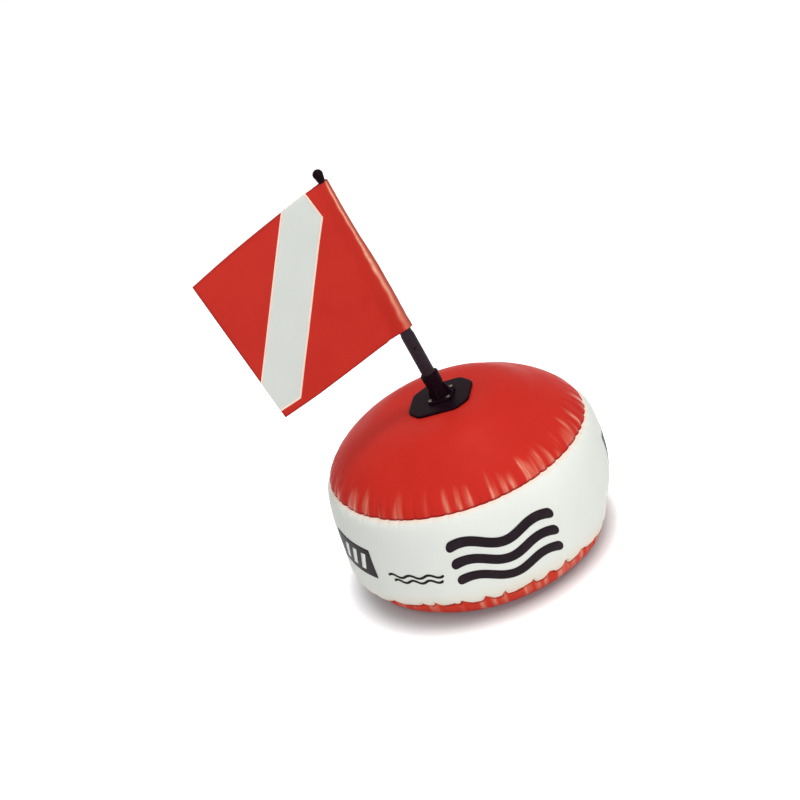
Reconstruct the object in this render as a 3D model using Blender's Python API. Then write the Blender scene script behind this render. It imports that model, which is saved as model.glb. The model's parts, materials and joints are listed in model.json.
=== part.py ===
"""Dive flag float: an inflatable round float with a plug-in mast and a diver-down flag.

Units are metres and +Z is up. The origin is the centre of the flat underside, on the float's axis.
The front of the float faces -Y. The mast leans to -X, because the soft top gives under its plate.
"""

import math

import bmesh
import bpy
from mathutils import Matrix, Vector

# Clearances
GAP = 0.0003                    # between pieces that touch on the real float
CUT_OVERRUN = 0.004             # how far a cutter runs past the face it opens

# Inflated shell: three welded vinyl panels
FLOAT_RADIUS = 0.175            # at the fullest part of the white band
FULLEST_HEIGHT = 0.098
TOP_SEAM_RADIUS = FLOAT_RADIUS - 0.0146
TOP_SEAM_HEIGHT = 0.1552
CROWN_HEIGHT = 0.2254
CROWN_ROUNDNESS = 1.175         # power of the crown's curve, 1 is an ellipse
BOTTOM_SEAM_RADIUS = FLOAT_RADIUS - 0.0164
BOTTOM_SEAM_HEIGHT = 0.0307
REST_RADIUS = BOTTOM_SEAM_RADIUS - 0.0583   # outer edge of the flat that the float stands on
VINYL_WALL = 0.0008
SEAM_FIN = 0.006                # width of the weld that points inwards at each seam

# Seat of the plate in the soft top, and the lean of the mast on it
PLATE_TILT = math.radians(4.5)
MAST_LEAN = math.radians(8.45)
MAST_X = 0.003
MAST_Y = -0.002
PLATE_TOP_HEIGHT = 0.2243
SEAT_FLAT_RADIUS = 0.050
SEAT_BLEND_RADIUS = 0.118

# Black base plate
PLATE_LENGTH = 0.080
PLATE_WIDTH = 0.076
PLATE_CHAMFER = 0.020
PLATE_CORNER = 0.005
PLATE_THICKNESS = 0.0035
PLATE_EDGE = 0.0011
PLATE_YAW = math.radians(-20.0)

# Mast socket, and the square on which its screws stand
SCREW_SPACING = 0.023
FLANGE_SIDE = SCREW_SPACING + 0.009
FLANGE_CORNER = 0.006
FLANGE_THICKNESS = 0.003
FLANGE_EDGE = 0.0006
SOCKET_FOOT_RADIUS = 0.0100
SOCKET_RIM_RADIUS = 0.0114
SOCKET_COLLAR_RADIUS = 0.0107
SOCKET_COLLAR_START = 0.0205
SOCKET_TOP = 0.0355
SOCKET_EDGE = 0.0007
SOCKET_BORE_FLOOR = 0.006
RIB_COUNT = 4
RIB_THICKNESS = 0.0024
RIB_REACH = 0.0146
RIB_TOP = 0.0180

# Screws that hold the socket on the plate
SCREW_SHANK_RADIUS = 0.0015
SCREW_LENGTH = 0.0058
SCREW_HEAD_RADIUS = 0.0026
SCREW_HEAD_HEIGHT = 0.0017
SCREW_SOCKET_RADIUS = 0.0013
SCREW_SOCKET_DEPTH = 0.0009
SCREW_DRIVE_SIDES = 6

# Mast, measured along itself from the plate's top
TUBE_RADIUS = 0.0075
TUBE_BORE_RADIUS = 0.0057
TUBE_WEB_START = 0.052
TUBE_WEB_END = 0.057
TUBE_TAPER_START = 0.1005
TUBE_TOP = 0.1465
TUBE_TOP_RADIUS = 0.0054
TUBE_EDGE = 0.0005
ROD_RADIUS = 0.0040
ROD_TAPER_START = 0.1485
ROD_TIP_RADIUS = 0.0020
ROD_TOP = 0.318
PIN_HEIGHT = 0.0765
PIN_RADIUS = 0.0014
PIN_HEAD_RADIUS = 0.0025
PIN_HEAD_HEIGHT = 0.0009
CAP_HEIGHT = 0.0157
CAP_NECK_RADIUS = 0.0042
CAP_RADIUS = 0.0062
CAP_WIDEST_SHARE = 0.62         # of the cap's height

# Flag: its height on the mast, and how far its fly corners are out from and along the mast
FLAG_BOTTOM = 0.097
FLAG_HOIST = 0.211
FLAG_BOTTOM_REACH = 0.1743
FLAG_TOP_REACH = 0.1862
FLAG_BOTTOM_SAG = 0.0042
FLAG_TOP_SAG = 0.0205
FLAG_CLOTH = 0.0007
FLAG_SWING = math.radians(15.0)
FLAG_BILLOW = 0.0035
BILLOW_SWEEP = 1.3 * math.pi    # turn of the flag's wave from the hoist to the fly
BILLOW_SHIFT = 0.9              # how far that wave runs on from the bottom row to the top row
SAG_POWER = 1.5                 # how the sag grows towards the fly
SLEEVE_HEM = 0.006              # from the sleeve's round to its row of stitches
SLEEVE_MOUTH = math.radians(50) # where the cloth leaves the sleeve's round
SLEEVE_EASE_HEIGHT = 0.024      # over which the sleeve closes in above the tube

# Inflation valve at the back of the band
VALVE_FLANGE_RADIUS = 0.0125
VALVE_FLANGE_THICKNESS = 0.0012
VALVE_EDGE = 0.0004
VALVE_BARREL_RADIUS = 0.0072
VALVE_BARREL_LENGTH = 0.012
VALVE_LIP_HEIGHT = 0.0025
VALVE_BORE_RADIUS = 0.0042
VALVE_CAP_RADIUS = 0.0070
VALVE_CAP_THICKNESS = 0.0018
VALVE_STOPPER_LENGTH = 0.0043
VALVE_STOPPER_TAPER = 0.0007
VALVE_STOPPER_CLEARANCE = 0.0005
VALVE_HINGE_REACH = 0.011
VALVE_HINGE_RADIUS = 0.0009
VALVE_STRAP_WIDTH = 0.005
VALVE_STRAP_THICKNESS = 0.0014
FLAP_RADIUS = 0.0056
FLAP_THICKNESS = 0.0008
FLAP_HINGE_RADIUS = 0.0006
FLAP_HINGE_WIDTH = 0.004

# Line ring and its patch, in a recess under the float
RECESS_DEPTH = 0.014
RECESS_ROOF_RADIUS = 0.034
RECESS_MOUTH_RADIUS = 0.040
RECESS_EDGE = 0.0015
PATCH_RADIUS = 0.030
PATCH_THICKNESS = 0.002
PATCH_EDGE = 0.0005
KEEPER_LENGTH = 0.014
KEEPER_WIDTH = 0.012
KEEPER_EDGE = 0.0009
RING_WIRE_RADIUS = 0.0020
RING_HALF_WIDTH = 0.013
RING_LEG = 0.006
RING_CORNER = 0.0035
RING_BAR_HEIGHT = 0.0070

# Ballast that keeps the flag up in the water
BALLAST_RADIUS = 0.024
BALLAST_THICKNESS = 0.009
BALLAST_EDGE = 0.0012
POCKET_FLANGE = 0.007

# Facets
ROUND_FLOAT = 64
ROUND_LARGE = 40
ROUND_MEDIUM = 28
ROUND_SMALL = 16
ARC_STEPS = 5
WIRE_SIDES = 10

# Crown and band curves, as shares of their quarter turn
CROWN_SHARES = (0.10, 0.20, 0.27, 0.34, 0.42, 0.50, 0.58, 0.66, 0.74, 0.82, 0.90, 0.96)
BAND_SHARES = (0.16, 0.34, 0.54, 0.76)
CORNER_SHARES = (0.2, 0.4, 0.6, 0.8)

# Rows and columns of the flag, as shares of its height and of its reach
FLAG_ROW_SHARES = (0.0, 0.02, 0.08, 0.16, 0.235, 0.29, 0.35, 0.45, 0.57, 0.70, 0.83, 0.94, 1.0)
FLAG_COLUMN_SHARES = (0.12, 0.26, 0.40, 0.54, 0.68, 0.82, 0.94, 1.0)

QUARTER = math.pi / 2
TURN = math.tau

# Finishes: colour, roughness, metallic
FINISHES = {
    "red_vinyl": ((0.60, 0.030, 0.020), 0.38, 0.0),
    "white_vinyl": ((0.78, 0.80, 0.78), 0.36, 0.0),
    "black_moulding": ((0.016, 0.012, 0.015), 0.42, 0.0),
    "black_tube": ((0.020, 0.016, 0.020), 0.45, 0.0),
    "white_rod": ((0.72, 0.70, 0.66), 0.40, 0.0),
    "flag_red": ((0.55, 0.034, 0.022), 0.55, 0.0),
    "steel": ((0.55, 0.55, 0.57), 0.25, 1.0),
    "dark_steel": ((0.14, 0.14, 0.15), 0.30, 1.0),
    "clear_vinyl": ((0.62, 0.66, 0.66), 0.30, 0.0),
    "lead": ((0.20, 0.21, 0.23), 0.55, 1.0),
}


def clear_scene():
    """Remove every object that the open file holds."""
    for old in list(bpy.data.objects):
        bpy.data.objects.remove(old, do_unlink=True)


def finish(name):
    """Return the Principled material of a finish, made on first use."""
    found = bpy.data.materials.get(name)
    if found:
        return found
    colour, roughness, metallic = FINISHES[name]
    made = bpy.data.materials.new(name)
    made.use_nodes = True
    shader = made.node_tree.nodes["Principled BSDF"]
    shader.inputs["Base Color"].default_value = (*colour, 1.0)
    shader.inputs["Roughness"].default_value = roughness
    shader.inputs["Metallic"].default_value = metallic
    made.diffuse_color = (*colour, 1.0)
    return made


def add_object(name, mesh, finish_name=None, parent=None, place=None):
    """Link a mesh as an object, placed by a matrix in its parent's frame."""
    item = bpy.data.objects.new(name, mesh)
    bpy.context.scene.collection.objects.link(item)
    item.parent = parent
    if place is not None:
        item.matrix_local = place
    if finish_name:
        mesh.materials.clear()
        mesh.materials.append(finish(finish_name))
    return item


def add_empty(name, place, parent=None):
    """Link an empty that carries other objects."""
    item = bpy.data.objects.new(name, None)
    bpy.context.scene.collection.objects.link(item)
    item.empty_display_size = TUBE_RADIUS
    item.parent = parent
    item.matrix_local = place
    return item


def combine(target, other, operation):
    """Join or cut the target by an exact Boolean with another object, which stays a guide."""
    other.hide_render = True
    other.display_type = 'WIRE'
    step = target.modifiers.new(other.name, 'BOOLEAN')
    step.operation = operation
    step.solver = 'EXACT'
    step.object = other


def round_edges(target, width, steps=2, angle=math.radians(50)):
    """Bevel the target's sharp edges."""
    step = target.modifiers.new("edges", 'BEVEL')
    step.width = width
    step.segments = steps
    step.limit_method = 'ANGLE'
    step.angle_limit = angle
    step.use_clamp_overlap = True


def smooth(mesh, angle=math.radians(35)):
    """Shade a mesh smooth up to an angle."""
    mesh.shade_smooth()
    mesh.set_sharp_from_angle(angle=angle)


def close_mesh(name, shape):
    """Turn a bmesh into a mesh whose faces point out."""
    bmesh.ops.recalc_face_normals(shape, faces=shape.faces)
    mesh = bpy.data.meshes.new(name)
    shape.to_mesh(mesh)
    shape.free()
    smooth(mesh)
    return mesh


def turned(name, profile, sides, closed=False):
    """Turn a profile of (radius, height) points round Z.

    A closed profile makes a ring. An open one starts and ends on the axis.
    """
    shape = bmesh.new()
    rings = []
    for radius, height in profile:
        if radius == 0:
            rings.append([shape.verts.new((0, 0, height))])
            continue
        ring = []
        for k in range(sides):
            turn = TURN * k / sides
            ring.append(shape.verts.new((radius * math.cos(turn), radius * math.sin(turn), height)))
        rings.append(ring)
    pairs = list(zip(rings, rings[1:]))
    if closed:
        pairs.append((rings[-1], rings[0]))
    for low, high in pairs:
        for k in range(sides):
            after = (k + 1) % sides
            corners = [low[k % len(low)], low[after % len(low)], high[after % len(high)], high[k % len(high)]]
            face = list(dict.fromkeys(corners))
            if len(face) > 2:
                shape.faces.new(face)
    return close_mesh(name, shape)


def prism(name, outline, low, high):
    """Stand a flat outline up between two heights."""
    shape = bmesh.new()
    bottom = [shape.verts.new((x, y, low)) for x, y in outline]
    top = [shape.verts.new((x, y, high)) for x, y in outline]
    shape.faces.new(bottom)
    shape.faces.new(top)
    for k in range(len(outline)):
        after = (k + 1) % len(outline)
        shape.faces.new((bottom[k], bottom[after], top[after], top[k]))
    return close_mesh(name, shape)


def block(name, low, high):
    """Make a box between two corners."""
    outline = [(low[0], low[1]), (high[0], low[1]), (high[0], high[1]), (low[0], high[1])]
    return prism(name, outline, low[2], high[2])


def rounded_outline(corners, radius, steps=ARC_STEPS):
    """Round the corners of a convex outline with arcs."""
    points = []
    for k, corner in enumerate(corners):
        here = Vector(corner)
        back = (Vector(corners[k - 1]) - here).normalized()
        ahead = (Vector(corners[(k + 1) % len(corners)]) - here).normalized()
        half = back.angle(ahead) / 2
        centre = here + (back + ahead).normalized() * (radius / math.sin(half))
        first = here + back * (radius / math.tan(half)) - centre
        sweep = math.pi - 2 * half
        for step in range(steps + 1):
            turn = sweep * step / steps
            spoke = Matrix.Rotation(turn, 2) @ first
            points.append(tuple(centre + spoke))
    return points


def chamfered_corners(length, width, cut):
    """Return the eight corners of a rectangle with its corners cut off."""
    x, y = length / 2, width / 2
    return [(x - cut, -y), (x, -y + cut), (x, y - cut), (x - cut, y),
            (-x + cut, y), (-x, y - cut), (-x, -y + cut), (-x + cut, -y)]


def walled(outer, wall):
    """Give an open profile a wall on its inner side and return the closed profile."""
    inner = []
    for k, point in enumerate(outer):
        here = Vector(point)
        before = (here - Vector(outer[k - 1])).normalized() if k > 0 else None
        after = (Vector(outer[k + 1]) - here).normalized() if k < len(outer) - 1 else None
        before = before or after
        after = after or before
        left = Vector((before.y, -before.x))
        right = Vector((after.y, -after.x))
        normal = (left + right).normalized()
        inner.append(tuple(here + normal * (wall / normal.dot(left))))
    return list(outer) + inner[::-1]


def baked(item):
    """Return the evaluated mesh of an object, for copies that share it."""
    graph = bpy.context.evaluated_depsgraph_get()
    return bpy.data.meshes.new_from_object(item.evaluated_get(graph))


# Shape of the inflated shell

def crown_height_at(radius):
    """Return the height of the undisturbed crown at a distance from the axis."""
    share = min(radius / TOP_SEAM_RADIUS, 1.0)
    rise = CROWN_HEIGHT - TOP_SEAM_HEIGHT
    return TOP_SEAM_HEIGHT + rise * (1.0 - share * share) ** (CROWN_ROUNDNESS / 2)


def mast_frame():
    """Return the frame of the mast: its foot on the plate's top, Z along the mast."""
    return Matrix.Translation((MAST_X, MAST_Y, PLATE_TOP_HEIGHT)) @ Matrix.Rotation(-MAST_LEAN, 4, 'Y')


def plate_frame():
    """Return the frame of the base plate: the mast's foot on its top, Z square to it, X along it."""
    place = Matrix.Translation((MAST_X, MAST_Y, PLATE_TOP_HEIGHT))
    return place @ Matrix.Rotation(-PLATE_TILT, 4, 'Y') @ Matrix.Rotation(PLATE_YAW, 4, 'Z')


def seat_height_at(x):
    """Return the height of the tilted seat under the base plate."""
    centre = plate_frame() @ Vector((0, 0, -PLATE_THICKNESS - GAP))
    return centre.z + math.tan(PLATE_TILT) * (x - centre.x)


def press_seat(mesh):
    """Press the tilted seat of the base plate into the crown."""
    for vertex in mesh.vertices:
        x, y = vertex.co.x, vertex.co.y
        away = math.hypot(x - MAST_X, y - MAST_Y)
        share = (away - SEAT_FLAT_RADIUS) / (SEAT_BLEND_RADIUS - SEAT_FLAT_RADIUS)
        share = min(max(share, 0.0), 1.0)
        keep = 1.0 - share * share * (3.0 - 2.0 * share)
        vertex.co.z += keep * (seat_height_at(x) - crown_height_at(math.hypot(x, y)))
    mesh.update()


def arc_points(start, end, shares):
    """Return points on the quarter ellipse that leaves start level and reaches end upright."""
    points = []
    for share in shares:
        turn = QUARTER * share
        points.append((start[0] + (end[0] - start[0]) * math.sin(turn),
                       start[1] + (end[1] - start[1]) * (1.0 - math.cos(turn))))
    return points


def make_top_panel():
    """Red crown of the float, with its welded fin turned inwards."""
    edge = TOP_SEAM_HEIGHT + GAP / 2
    outer = [(0, CROWN_HEIGHT)]
    for share in CROWN_SHARES:
        radius = TOP_SEAM_RADIUS * math.sin(QUARTER * share)
        outer.append((radius, crown_height_at(radius)))
    outer.append((TOP_SEAM_RADIUS, edge))
    outer.append((TOP_SEAM_RADIUS - SEAM_FIN, edge))
    profile = walled(outer[::-1], -VINYL_WALL)
    centre = len(outer) - 1
    profile[centre + 1] = (0, CROWN_HEIGHT - VINYL_WALL)
    order = profile[centre + 1:] + profile[:centre + 1]
    mesh = turned("top_panel", order, ROUND_FLOAT)
    press_seat(mesh)
    return add_object("top_panel", mesh, "red_vinyl")


def make_side_band():
    """White band round the float, with the hole of the valve."""
    top = (TOP_SEAM_RADIUS, TOP_SEAM_HEIGHT - GAP / 2)
    low = (BOTTOM_SEAM_RADIUS, BOTTOM_SEAM_HEIGHT + GAP / 2)
    full = (FLOAT_RADIUS, FULLEST_HEIGHT)
    outer = [(top[0] - SEAM_FIN, top[1]), top]
    outer += arc_points(top, full, BAND_SHARES)
    outer.append(full)
    outer += arc_points(low, full, BAND_SHARES)[::-1]
    outer += [low, (low[0] - SEAM_FIN, low[1])]
    mesh = turned("side_band", walled(outer, VINYL_WALL), ROUND_FLOAT, closed=True)
    band = add_object("side_band", mesh, "white_vinyl")
    reach = VALVE_BARREL_RADIUS + GAP
    hole = turned("valve_hole", [(0, -VALVE_BARREL_LENGTH), (reach, -VALVE_BARREL_LENGTH),
                                 (reach, CUT_OVERRUN), (0, CUT_OVERRUN)], ROUND_MEDIUM)
    combine(band, add_object("valve_hole", hole, place=valve_frame()), 'DIFFERENCE')
    return band


def make_bottom_panel():
    """Red underside with its flat to stand on and the recess of the line ring."""
    edge = BOTTOM_SEAM_HEIGHT - GAP / 2
    outer = [(0, RECESS_DEPTH), (RECESS_ROOF_RADIUS - RECESS_EDGE, RECESS_DEPTH)]
    outer.append((RECESS_ROOF_RADIUS + RECESS_EDGE / 2, RECESS_DEPTH - RECESS_EDGE))
    outer.append((RECESS_MOUTH_RADIUS - RECESS_EDGE / 2, RECESS_EDGE))
    outer.append((RECESS_MOUTH_RADIUS + RECESS_EDGE, 0))
    outer.append((REST_RADIUS, 0))
    outer += arc_points((REST_RADIUS, 0), (BOTTOM_SEAM_RADIUS, edge), CORNER_SHARES)
    outer += [(BOTTOM_SEAM_RADIUS, edge), (BOTTOM_SEAM_RADIUS - SEAM_FIN, edge)]
    profile = walled(outer, -VINYL_WALL)
    profile[-1] = (0, RECESS_DEPTH + VINYL_WALL)
    return add_object("bottom_panel", turned("bottom_panel", profile, ROUND_FLOAT), "red_vinyl")


# Plate, socket and screws

def screw_places():
    """Return the four screw centres on the flange."""
    half = SCREW_SPACING / 2
    return [(half, -half), (half, half), (-half, half), (-half, -half)]


def screw_holes(name, parent, low, high):
    """Make the cutters of the four screw holes."""
    reach = SCREW_SHANK_RADIUS + GAP
    profile = [(0, low), (reach, low), (reach, high), (0, high)]
    mesh = turned(name, profile, ROUND_SMALL)
    return [add_object(f"{name}_{k + 1}", mesh, parent=parent, place=Matrix.Translation((x, y, 0)))
            for k, (x, y) in enumerate(screw_places())]


def make_base_plate(carrier):
    """Black eight-sided plate on the crown."""
    corners = chamfered_corners(PLATE_LENGTH, PLATE_WIDTH, PLATE_CHAMFER)
    outline = rounded_outline(corners, PLATE_CORNER)
    plate = add_object("base_plate", prism("base_plate", outline, -PLATE_THICKNESS, 0), "black_moulding",
                       parent=carrier)
    round_edges(plate, PLATE_EDGE)
    for hole in screw_holes("plate_hole", carrier, -PLATE_THICKNESS - CUT_OVERRUN, CUT_OVERRUN):
        combine(plate, hole, 'DIFFERENCE')
    return plate


def make_mast_socket(carrier, mast_line):
    """Socket that the mast plugs into: flange and ribs on the plate, collar and bore along the mast."""
    half = FLANGE_SIDE / 2
    corners = [(half, -half), (half, half), (-half, half), (-half, -half)]
    outline = rounded_outline(corners, FLANGE_CORNER)
    flange = prism("mast_socket", outline, GAP, GAP + FLANGE_THICKNESS)
    socket = add_object("mast_socket", flange, "black_moulding", parent=carrier)
    round_edges(socket, FLANGE_EDGE)
    middle = GAP + FLANGE_THICKNESS / 2
    step = SOCKET_COLLAR_RADIUS - SOCKET_FOOT_RADIUS
    collar = [(0, middle), (SOCKET_FOOT_RADIUS, middle), (SOCKET_FOOT_RADIUS, SOCKET_COLLAR_START - step),
              (SOCKET_COLLAR_RADIUS, SOCKET_COLLAR_START),
              (SOCKET_RIM_RADIUS, SOCKET_TOP - SOCKET_EDGE),
              (SOCKET_RIM_RADIUS - SOCKET_EDGE, SOCKET_TOP), (0, SOCKET_TOP)]
    combine(socket, add_object("socket_collar", turned("socket_collar", collar, ROUND_LARGE), parent=mast_line),
            'UNION')
    for k in range(RIB_COUNT):
        turn = Matrix.Rotation(TURN * k / RIB_COUNT, 4, 'Z')
        combine(socket, add_object(f"socket_rib_{k + 1}", socket_rib(), parent=carrier, place=turn), 'UNION')
    reach = TUBE_RADIUS + GAP
    bore = [(0, SOCKET_BORE_FLOOR), (reach, SOCKET_BORE_FLOOR), (reach, SOCKET_TOP + CUT_OVERRUN),
            (0, SOCKET_TOP + CUT_OVERRUN)]
    combine(socket, add_object("socket_bore", turned("socket_bore", bore, ROUND_LARGE), parent=mast_line),
            'DIFFERENCE')
    for hole in screw_holes("flange_hole", carrier, -CUT_OVERRUN, FLANGE_THICKNESS + CUT_OVERRUN):
        combine(socket, hole, 'DIFFERENCE')
    return socket


def socket_rib():
    """Make one upright rib between the flange and the foot."""
    low = GAP + FLANGE_THICKNESS / 2
    shape = bmesh.new()
    inside = TUBE_BORE_RADIUS
    side = [(inside, low), (RIB_REACH, low), (RIB_REACH, low + FLANGE_THICKNESS), (SOCKET_FOOT_RADIUS, RIB_TOP),
            (inside, RIB_TOP)]
    half = RIB_THICKNESS / 2
    left = [shape.verts.new((x, -half, z)) for x, z in side]
    right = [shape.verts.new((x, half, z)) for x, z in side]
    shape.faces.new(left)
    shape.faces.new(right)
    for k in range(len(side)):
        after = (k + 1) % len(side)
        shape.faces.new((left[k], left[after], right[after], right[k]))
    return close_mesh("socket_rib", shape)


def make_screws(carrier):
    """Four pan-head screws with a six-sided drive."""
    seat = 2 * GAP + FLANGE_THICKNESS
    top = seat + SCREW_HEAD_HEIGHT
    tip = seat - SCREW_LENGTH
    profile = [(0, tip), (SCREW_SHANK_RADIUS - SCREW_SHANK_RADIUS / 3, tip),
               (SCREW_SHANK_RADIUS, tip + SCREW_SHANK_RADIUS / 2), (SCREW_SHANK_RADIUS, seat),
               (SCREW_HEAD_RADIUS, seat), (SCREW_HEAD_RADIUS, seat + SCREW_HEAD_HEIGHT / 2),
               (SCREW_HEAD_RADIUS - SCREW_HEAD_HEIGHT / 3, top - SCREW_HEAD_HEIGHT / 8), (0, top)]
    pattern = add_object("screw_pattern", turned("screw_pattern", profile, ROUND_SMALL), "dark_steel")
    floor = top - SCREW_SOCKET_DEPTH
    drive = [(0, floor), (SCREW_SOCKET_RADIUS, floor), (SCREW_SOCKET_RADIUS, top + CUT_OVERRUN),
             (0, top + CUT_OVERRUN)]
    cutter = add_object("screw_drive", turned("screw_drive", drive, SCREW_DRIVE_SIDES))
    combine(pattern, cutter, 'DIFFERENCE')
    mesh = baked(pattern)
    bpy.data.objects.remove(pattern)
    bpy.data.objects.remove(cutter)
    for k, (x, y) in enumerate(screw_places()):
        add_object(f"socket_screw_{k + 1}", mesh, "dark_steel", parent=carrier,
                   place=Matrix.Translation((x, y, 0)))


# Mast

def pin_hole(name, carrier):
    """Make the cutter of the cross hole of the mast pin."""
    reach = PIN_RADIUS + GAP
    half = TUBE_RADIUS + CUT_OVERRUN
    mesh = turned(name, [(0, -half), (reach, -half), (reach, half), (0, half)], ROUND_SMALL)
    return add_object(name, mesh, parent=carrier, place=pin_frame())


def pin_frame():
    """Return the frame of the pin, with Z across the mast towards the front."""
    return Matrix.Translation((0, 0, PIN_HEIGHT)) @ Matrix.Rotation(QUARTER, 4, 'X')


def make_mast_tube(carrier):
    """Black lower tube of the mast, tapered where it goes into the flag's sleeve."""
    rod_fit = ROD_RADIUS + GAP
    foot = SOCKET_BORE_FLOOR + GAP
    profile = [(0, TUBE_WEB_END), (rod_fit, TUBE_WEB_END), (rod_fit, TUBE_TOP),
               (TUBE_TOP_RADIUS - TUBE_EDGE, TUBE_TOP), (TUBE_TOP_RADIUS, TUBE_TOP - TUBE_EDGE),
               (TUBE_RADIUS, TUBE_TAPER_START), (TUBE_RADIUS, foot + TUBE_EDGE),
               (TUBE_RADIUS - TUBE_EDGE, foot), (TUBE_BORE_RADIUS, foot), (TUBE_BORE_RADIUS, TUBE_WEB_START),
               (0, TUBE_WEB_START)]
    tube = add_object("mast_tube", turned("mast_tube", profile, ROUND_LARGE), "black_tube", parent=carrier)
    combine(tube, pin_hole("tube_pin_hole", carrier), 'DIFFERENCE')
    return tube


def make_mast_rod(carrier):
    """Tapered rod that stands in the tube and carries the flag."""
    foot = TUBE_WEB_END + GAP
    profile = [(0, foot), (ROD_RADIUS, foot), (ROD_RADIUS, ROD_TAPER_START), (ROD_TIP_RADIUS, ROD_TOP),
               (0, ROD_TOP)]
    rod = add_object("mast_rod", turned("mast_rod", profile, ROUND_MEDIUM), "white_rod", parent=carrier)
    combine(rod, pin_hole("rod_pin_hole", carrier), 'DIFFERENCE')
    return rod


def make_mast_pin(carrier):
    """Cross pin with a round head at both ends."""
    seat = TUBE_RADIUS + GAP
    end = seat + PIN_HEAD_HEIGHT
    head = [(PIN_RADIUS, seat), (PIN_HEAD_RADIUS, seat), (PIN_HEAD_RADIUS - PIN_HEAD_HEIGHT / 2, end), (0, end)]
    profile = [(radius, -height) for radius, height in head[::-1]] + head
    return add_object("mast_pin", turned("mast_pin", profile, ROUND_SMALL), "dark_steel", parent=carrier,
                      place=pin_frame())


def make_mast_cap(carrier):
    """Black knob on the mast's tip, which keeps the flag on."""
    low = FLAG_BOTTOM + FLAG_HOIST + GAP
    top = low + CAP_HEIGHT
    widest = low + CAP_HEIGHT * CAP_WIDEST_SHARE
    fit = rod_radius_at(low) + GAP
    tip_fit = ROD_TIP_RADIUS + GAP
    outer = [(fit, low), (CAP_NECK_RADIUS, low), (CAP_RADIUS, widest)]
    outer += arc_points((0, top), (CAP_RADIUS, widest), CORNER_SHARES)[::-1]
    outer.append((0, top))
    profile = [(0, ROD_TOP + GAP), (tip_fit, ROD_TOP + GAP)] + outer
    return add_object("mast_cap", turned("mast_cap", profile, ROUND_MEDIUM), "black_moulding", parent=carrier)


def rod_radius_at(height):
    """Return the rod's radius at a height on the mast."""
    share = (height - ROD_TAPER_START) / (ROD_TOP - ROD_TAPER_START)
    share = min(max(share, 0.0), 1.0)
    return ROD_RADIUS + (ROD_TIP_RADIUS - ROD_RADIUS) * share


# Flag

def sleeve_bore_at(height):
    """Return the inner radius of the flag's sleeve at a height on the mast."""
    if height <= TUBE_TAPER_START:
        return TUBE_RADIUS + GAP
    if height <= TUBE_TOP + GAP:
        share = (height - TUBE_TAPER_START) / (TUBE_TOP - TUBE_TAPER_START)
        return TUBE_RADIUS + (TUBE_TOP_RADIUS - TUBE_RADIUS) * share + 2 * GAP
    share = min((height - TUBE_TOP) / SLEEVE_EASE_HEIGHT, 1.0)
    rod = rod_radius_at(height) + GAP
    return (TUBE_TOP_RADIUS + 2 * GAP) * (1.0 - share) + rod * share


def flag_height_at(row, column):
    """Return the height of a point of the flag, between its level hoist and its sagging fly."""
    height = FLAG_BOTTOM + FLAG_HOIST * row
    sag = FLAG_BOTTOM_SAG + (FLAG_TOP_SAG - FLAG_BOTTOM_SAG) * row
    return height - sag * column ** SAG_POWER


def flag_section(row):
    """Return one level section of the flag: out from the mast, across, height."""
    height = FLAG_BOTTOM + FLAG_HOIST * row
    round_radius = sleeve_bore_at(height) + FLAG_CLOTH
    reach = FLAG_BOTTOM_REACH + (FLAG_TOP_REACH - FLAG_BOTTOM_REACH) * row
    half = FLAG_CLOTH / 2
    hem = round_radius + SLEEVE_HEM
    sheet = [(hem, 0.0)]
    for column in FLAG_COLUMN_SHARES:
        out = hem + (reach - hem) * column
        wave = FLAG_BILLOW * column * math.sin(BILLOW_SWEEP * column + BILLOW_SHIFT * row)
        sheet.append((out, wave))
    columns = [0.0] + list(FLAG_COLUMN_SHARES)
    side = [(out, wave + half, flag_height_at(row, column)) for (out, wave), column in zip(sheet, columns)]
    other = [(out, wave - half, flag_height_at(row, column)) for (out, wave), column in zip(sheet, columns)]
    loop = []
    for k in range(ROUND_SMALL + 1):
        turn = SLEEVE_MOUTH + (TURN - 2 * SLEEVE_MOUTH) * k / ROUND_SMALL
        loop.append((round_radius * math.cos(turn), round_radius * math.sin(turn), height))
    return side[::-1] + loop + other


def make_flag(carrier):
    """Red flag with the sleeve that slips over the mast."""
    shape = bmesh.new()
    rows = []
    for row in FLAG_ROW_SHARES:
        rows.append([shape.verts.new(point) for point in flag_section(row)])
    for low, high in zip(rows, rows[1:]):
        for k in range(len(low)):
            after = (k + 1) % len(low)
            shape.faces.new((low[k], low[after], high[after], high[k]))
    columns = len(FLAG_COLUMN_SHARES)
    for row in (rows[0], rows[-1]):
        for k in range(columns):
            shape.faces.new((row[k], row[k + 1], row[-2 - k], row[-1 - k]))
        shape.faces.new(row[columns:len(row) - columns])
    mesh = close_mesh("flag", shape)
    frame = Matrix.Rotation(math.pi + FLAG_SWING, 4, 'Z')
    flag = add_object("flag", mesh, "flag_red", parent=carrier, place=frame)
    low = FLAG_BOTTOM
    top = FLAG_BOTTOM + FLAG_HOIST
    heights = [low + FLAG_HOIST * row for row in FLAG_ROW_SHARES if 0.0 < row < 1.0]
    heights += [TUBE_TAPER_START, TUBE_TOP + GAP]
    bore = [(0, low - CUT_OVERRUN), (sleeve_bore_at(low), low - CUT_OVERRUN)]
    bore += [(sleeve_bore_at(height), height) for height in sorted(heights)]
    bore += [(sleeve_bore_at(top), top), (sleeve_bore_at(top), top + CUT_OVERRUN), (0, top + CUT_OVERRUN)]
    combine(flag, add_object("sleeve_bore", turned("sleeve_bore", bore, ROUND_MEDIUM), parent=carrier,
                             place=frame), 'DIFFERENCE')
    return flag


# Inflation valve

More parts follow.
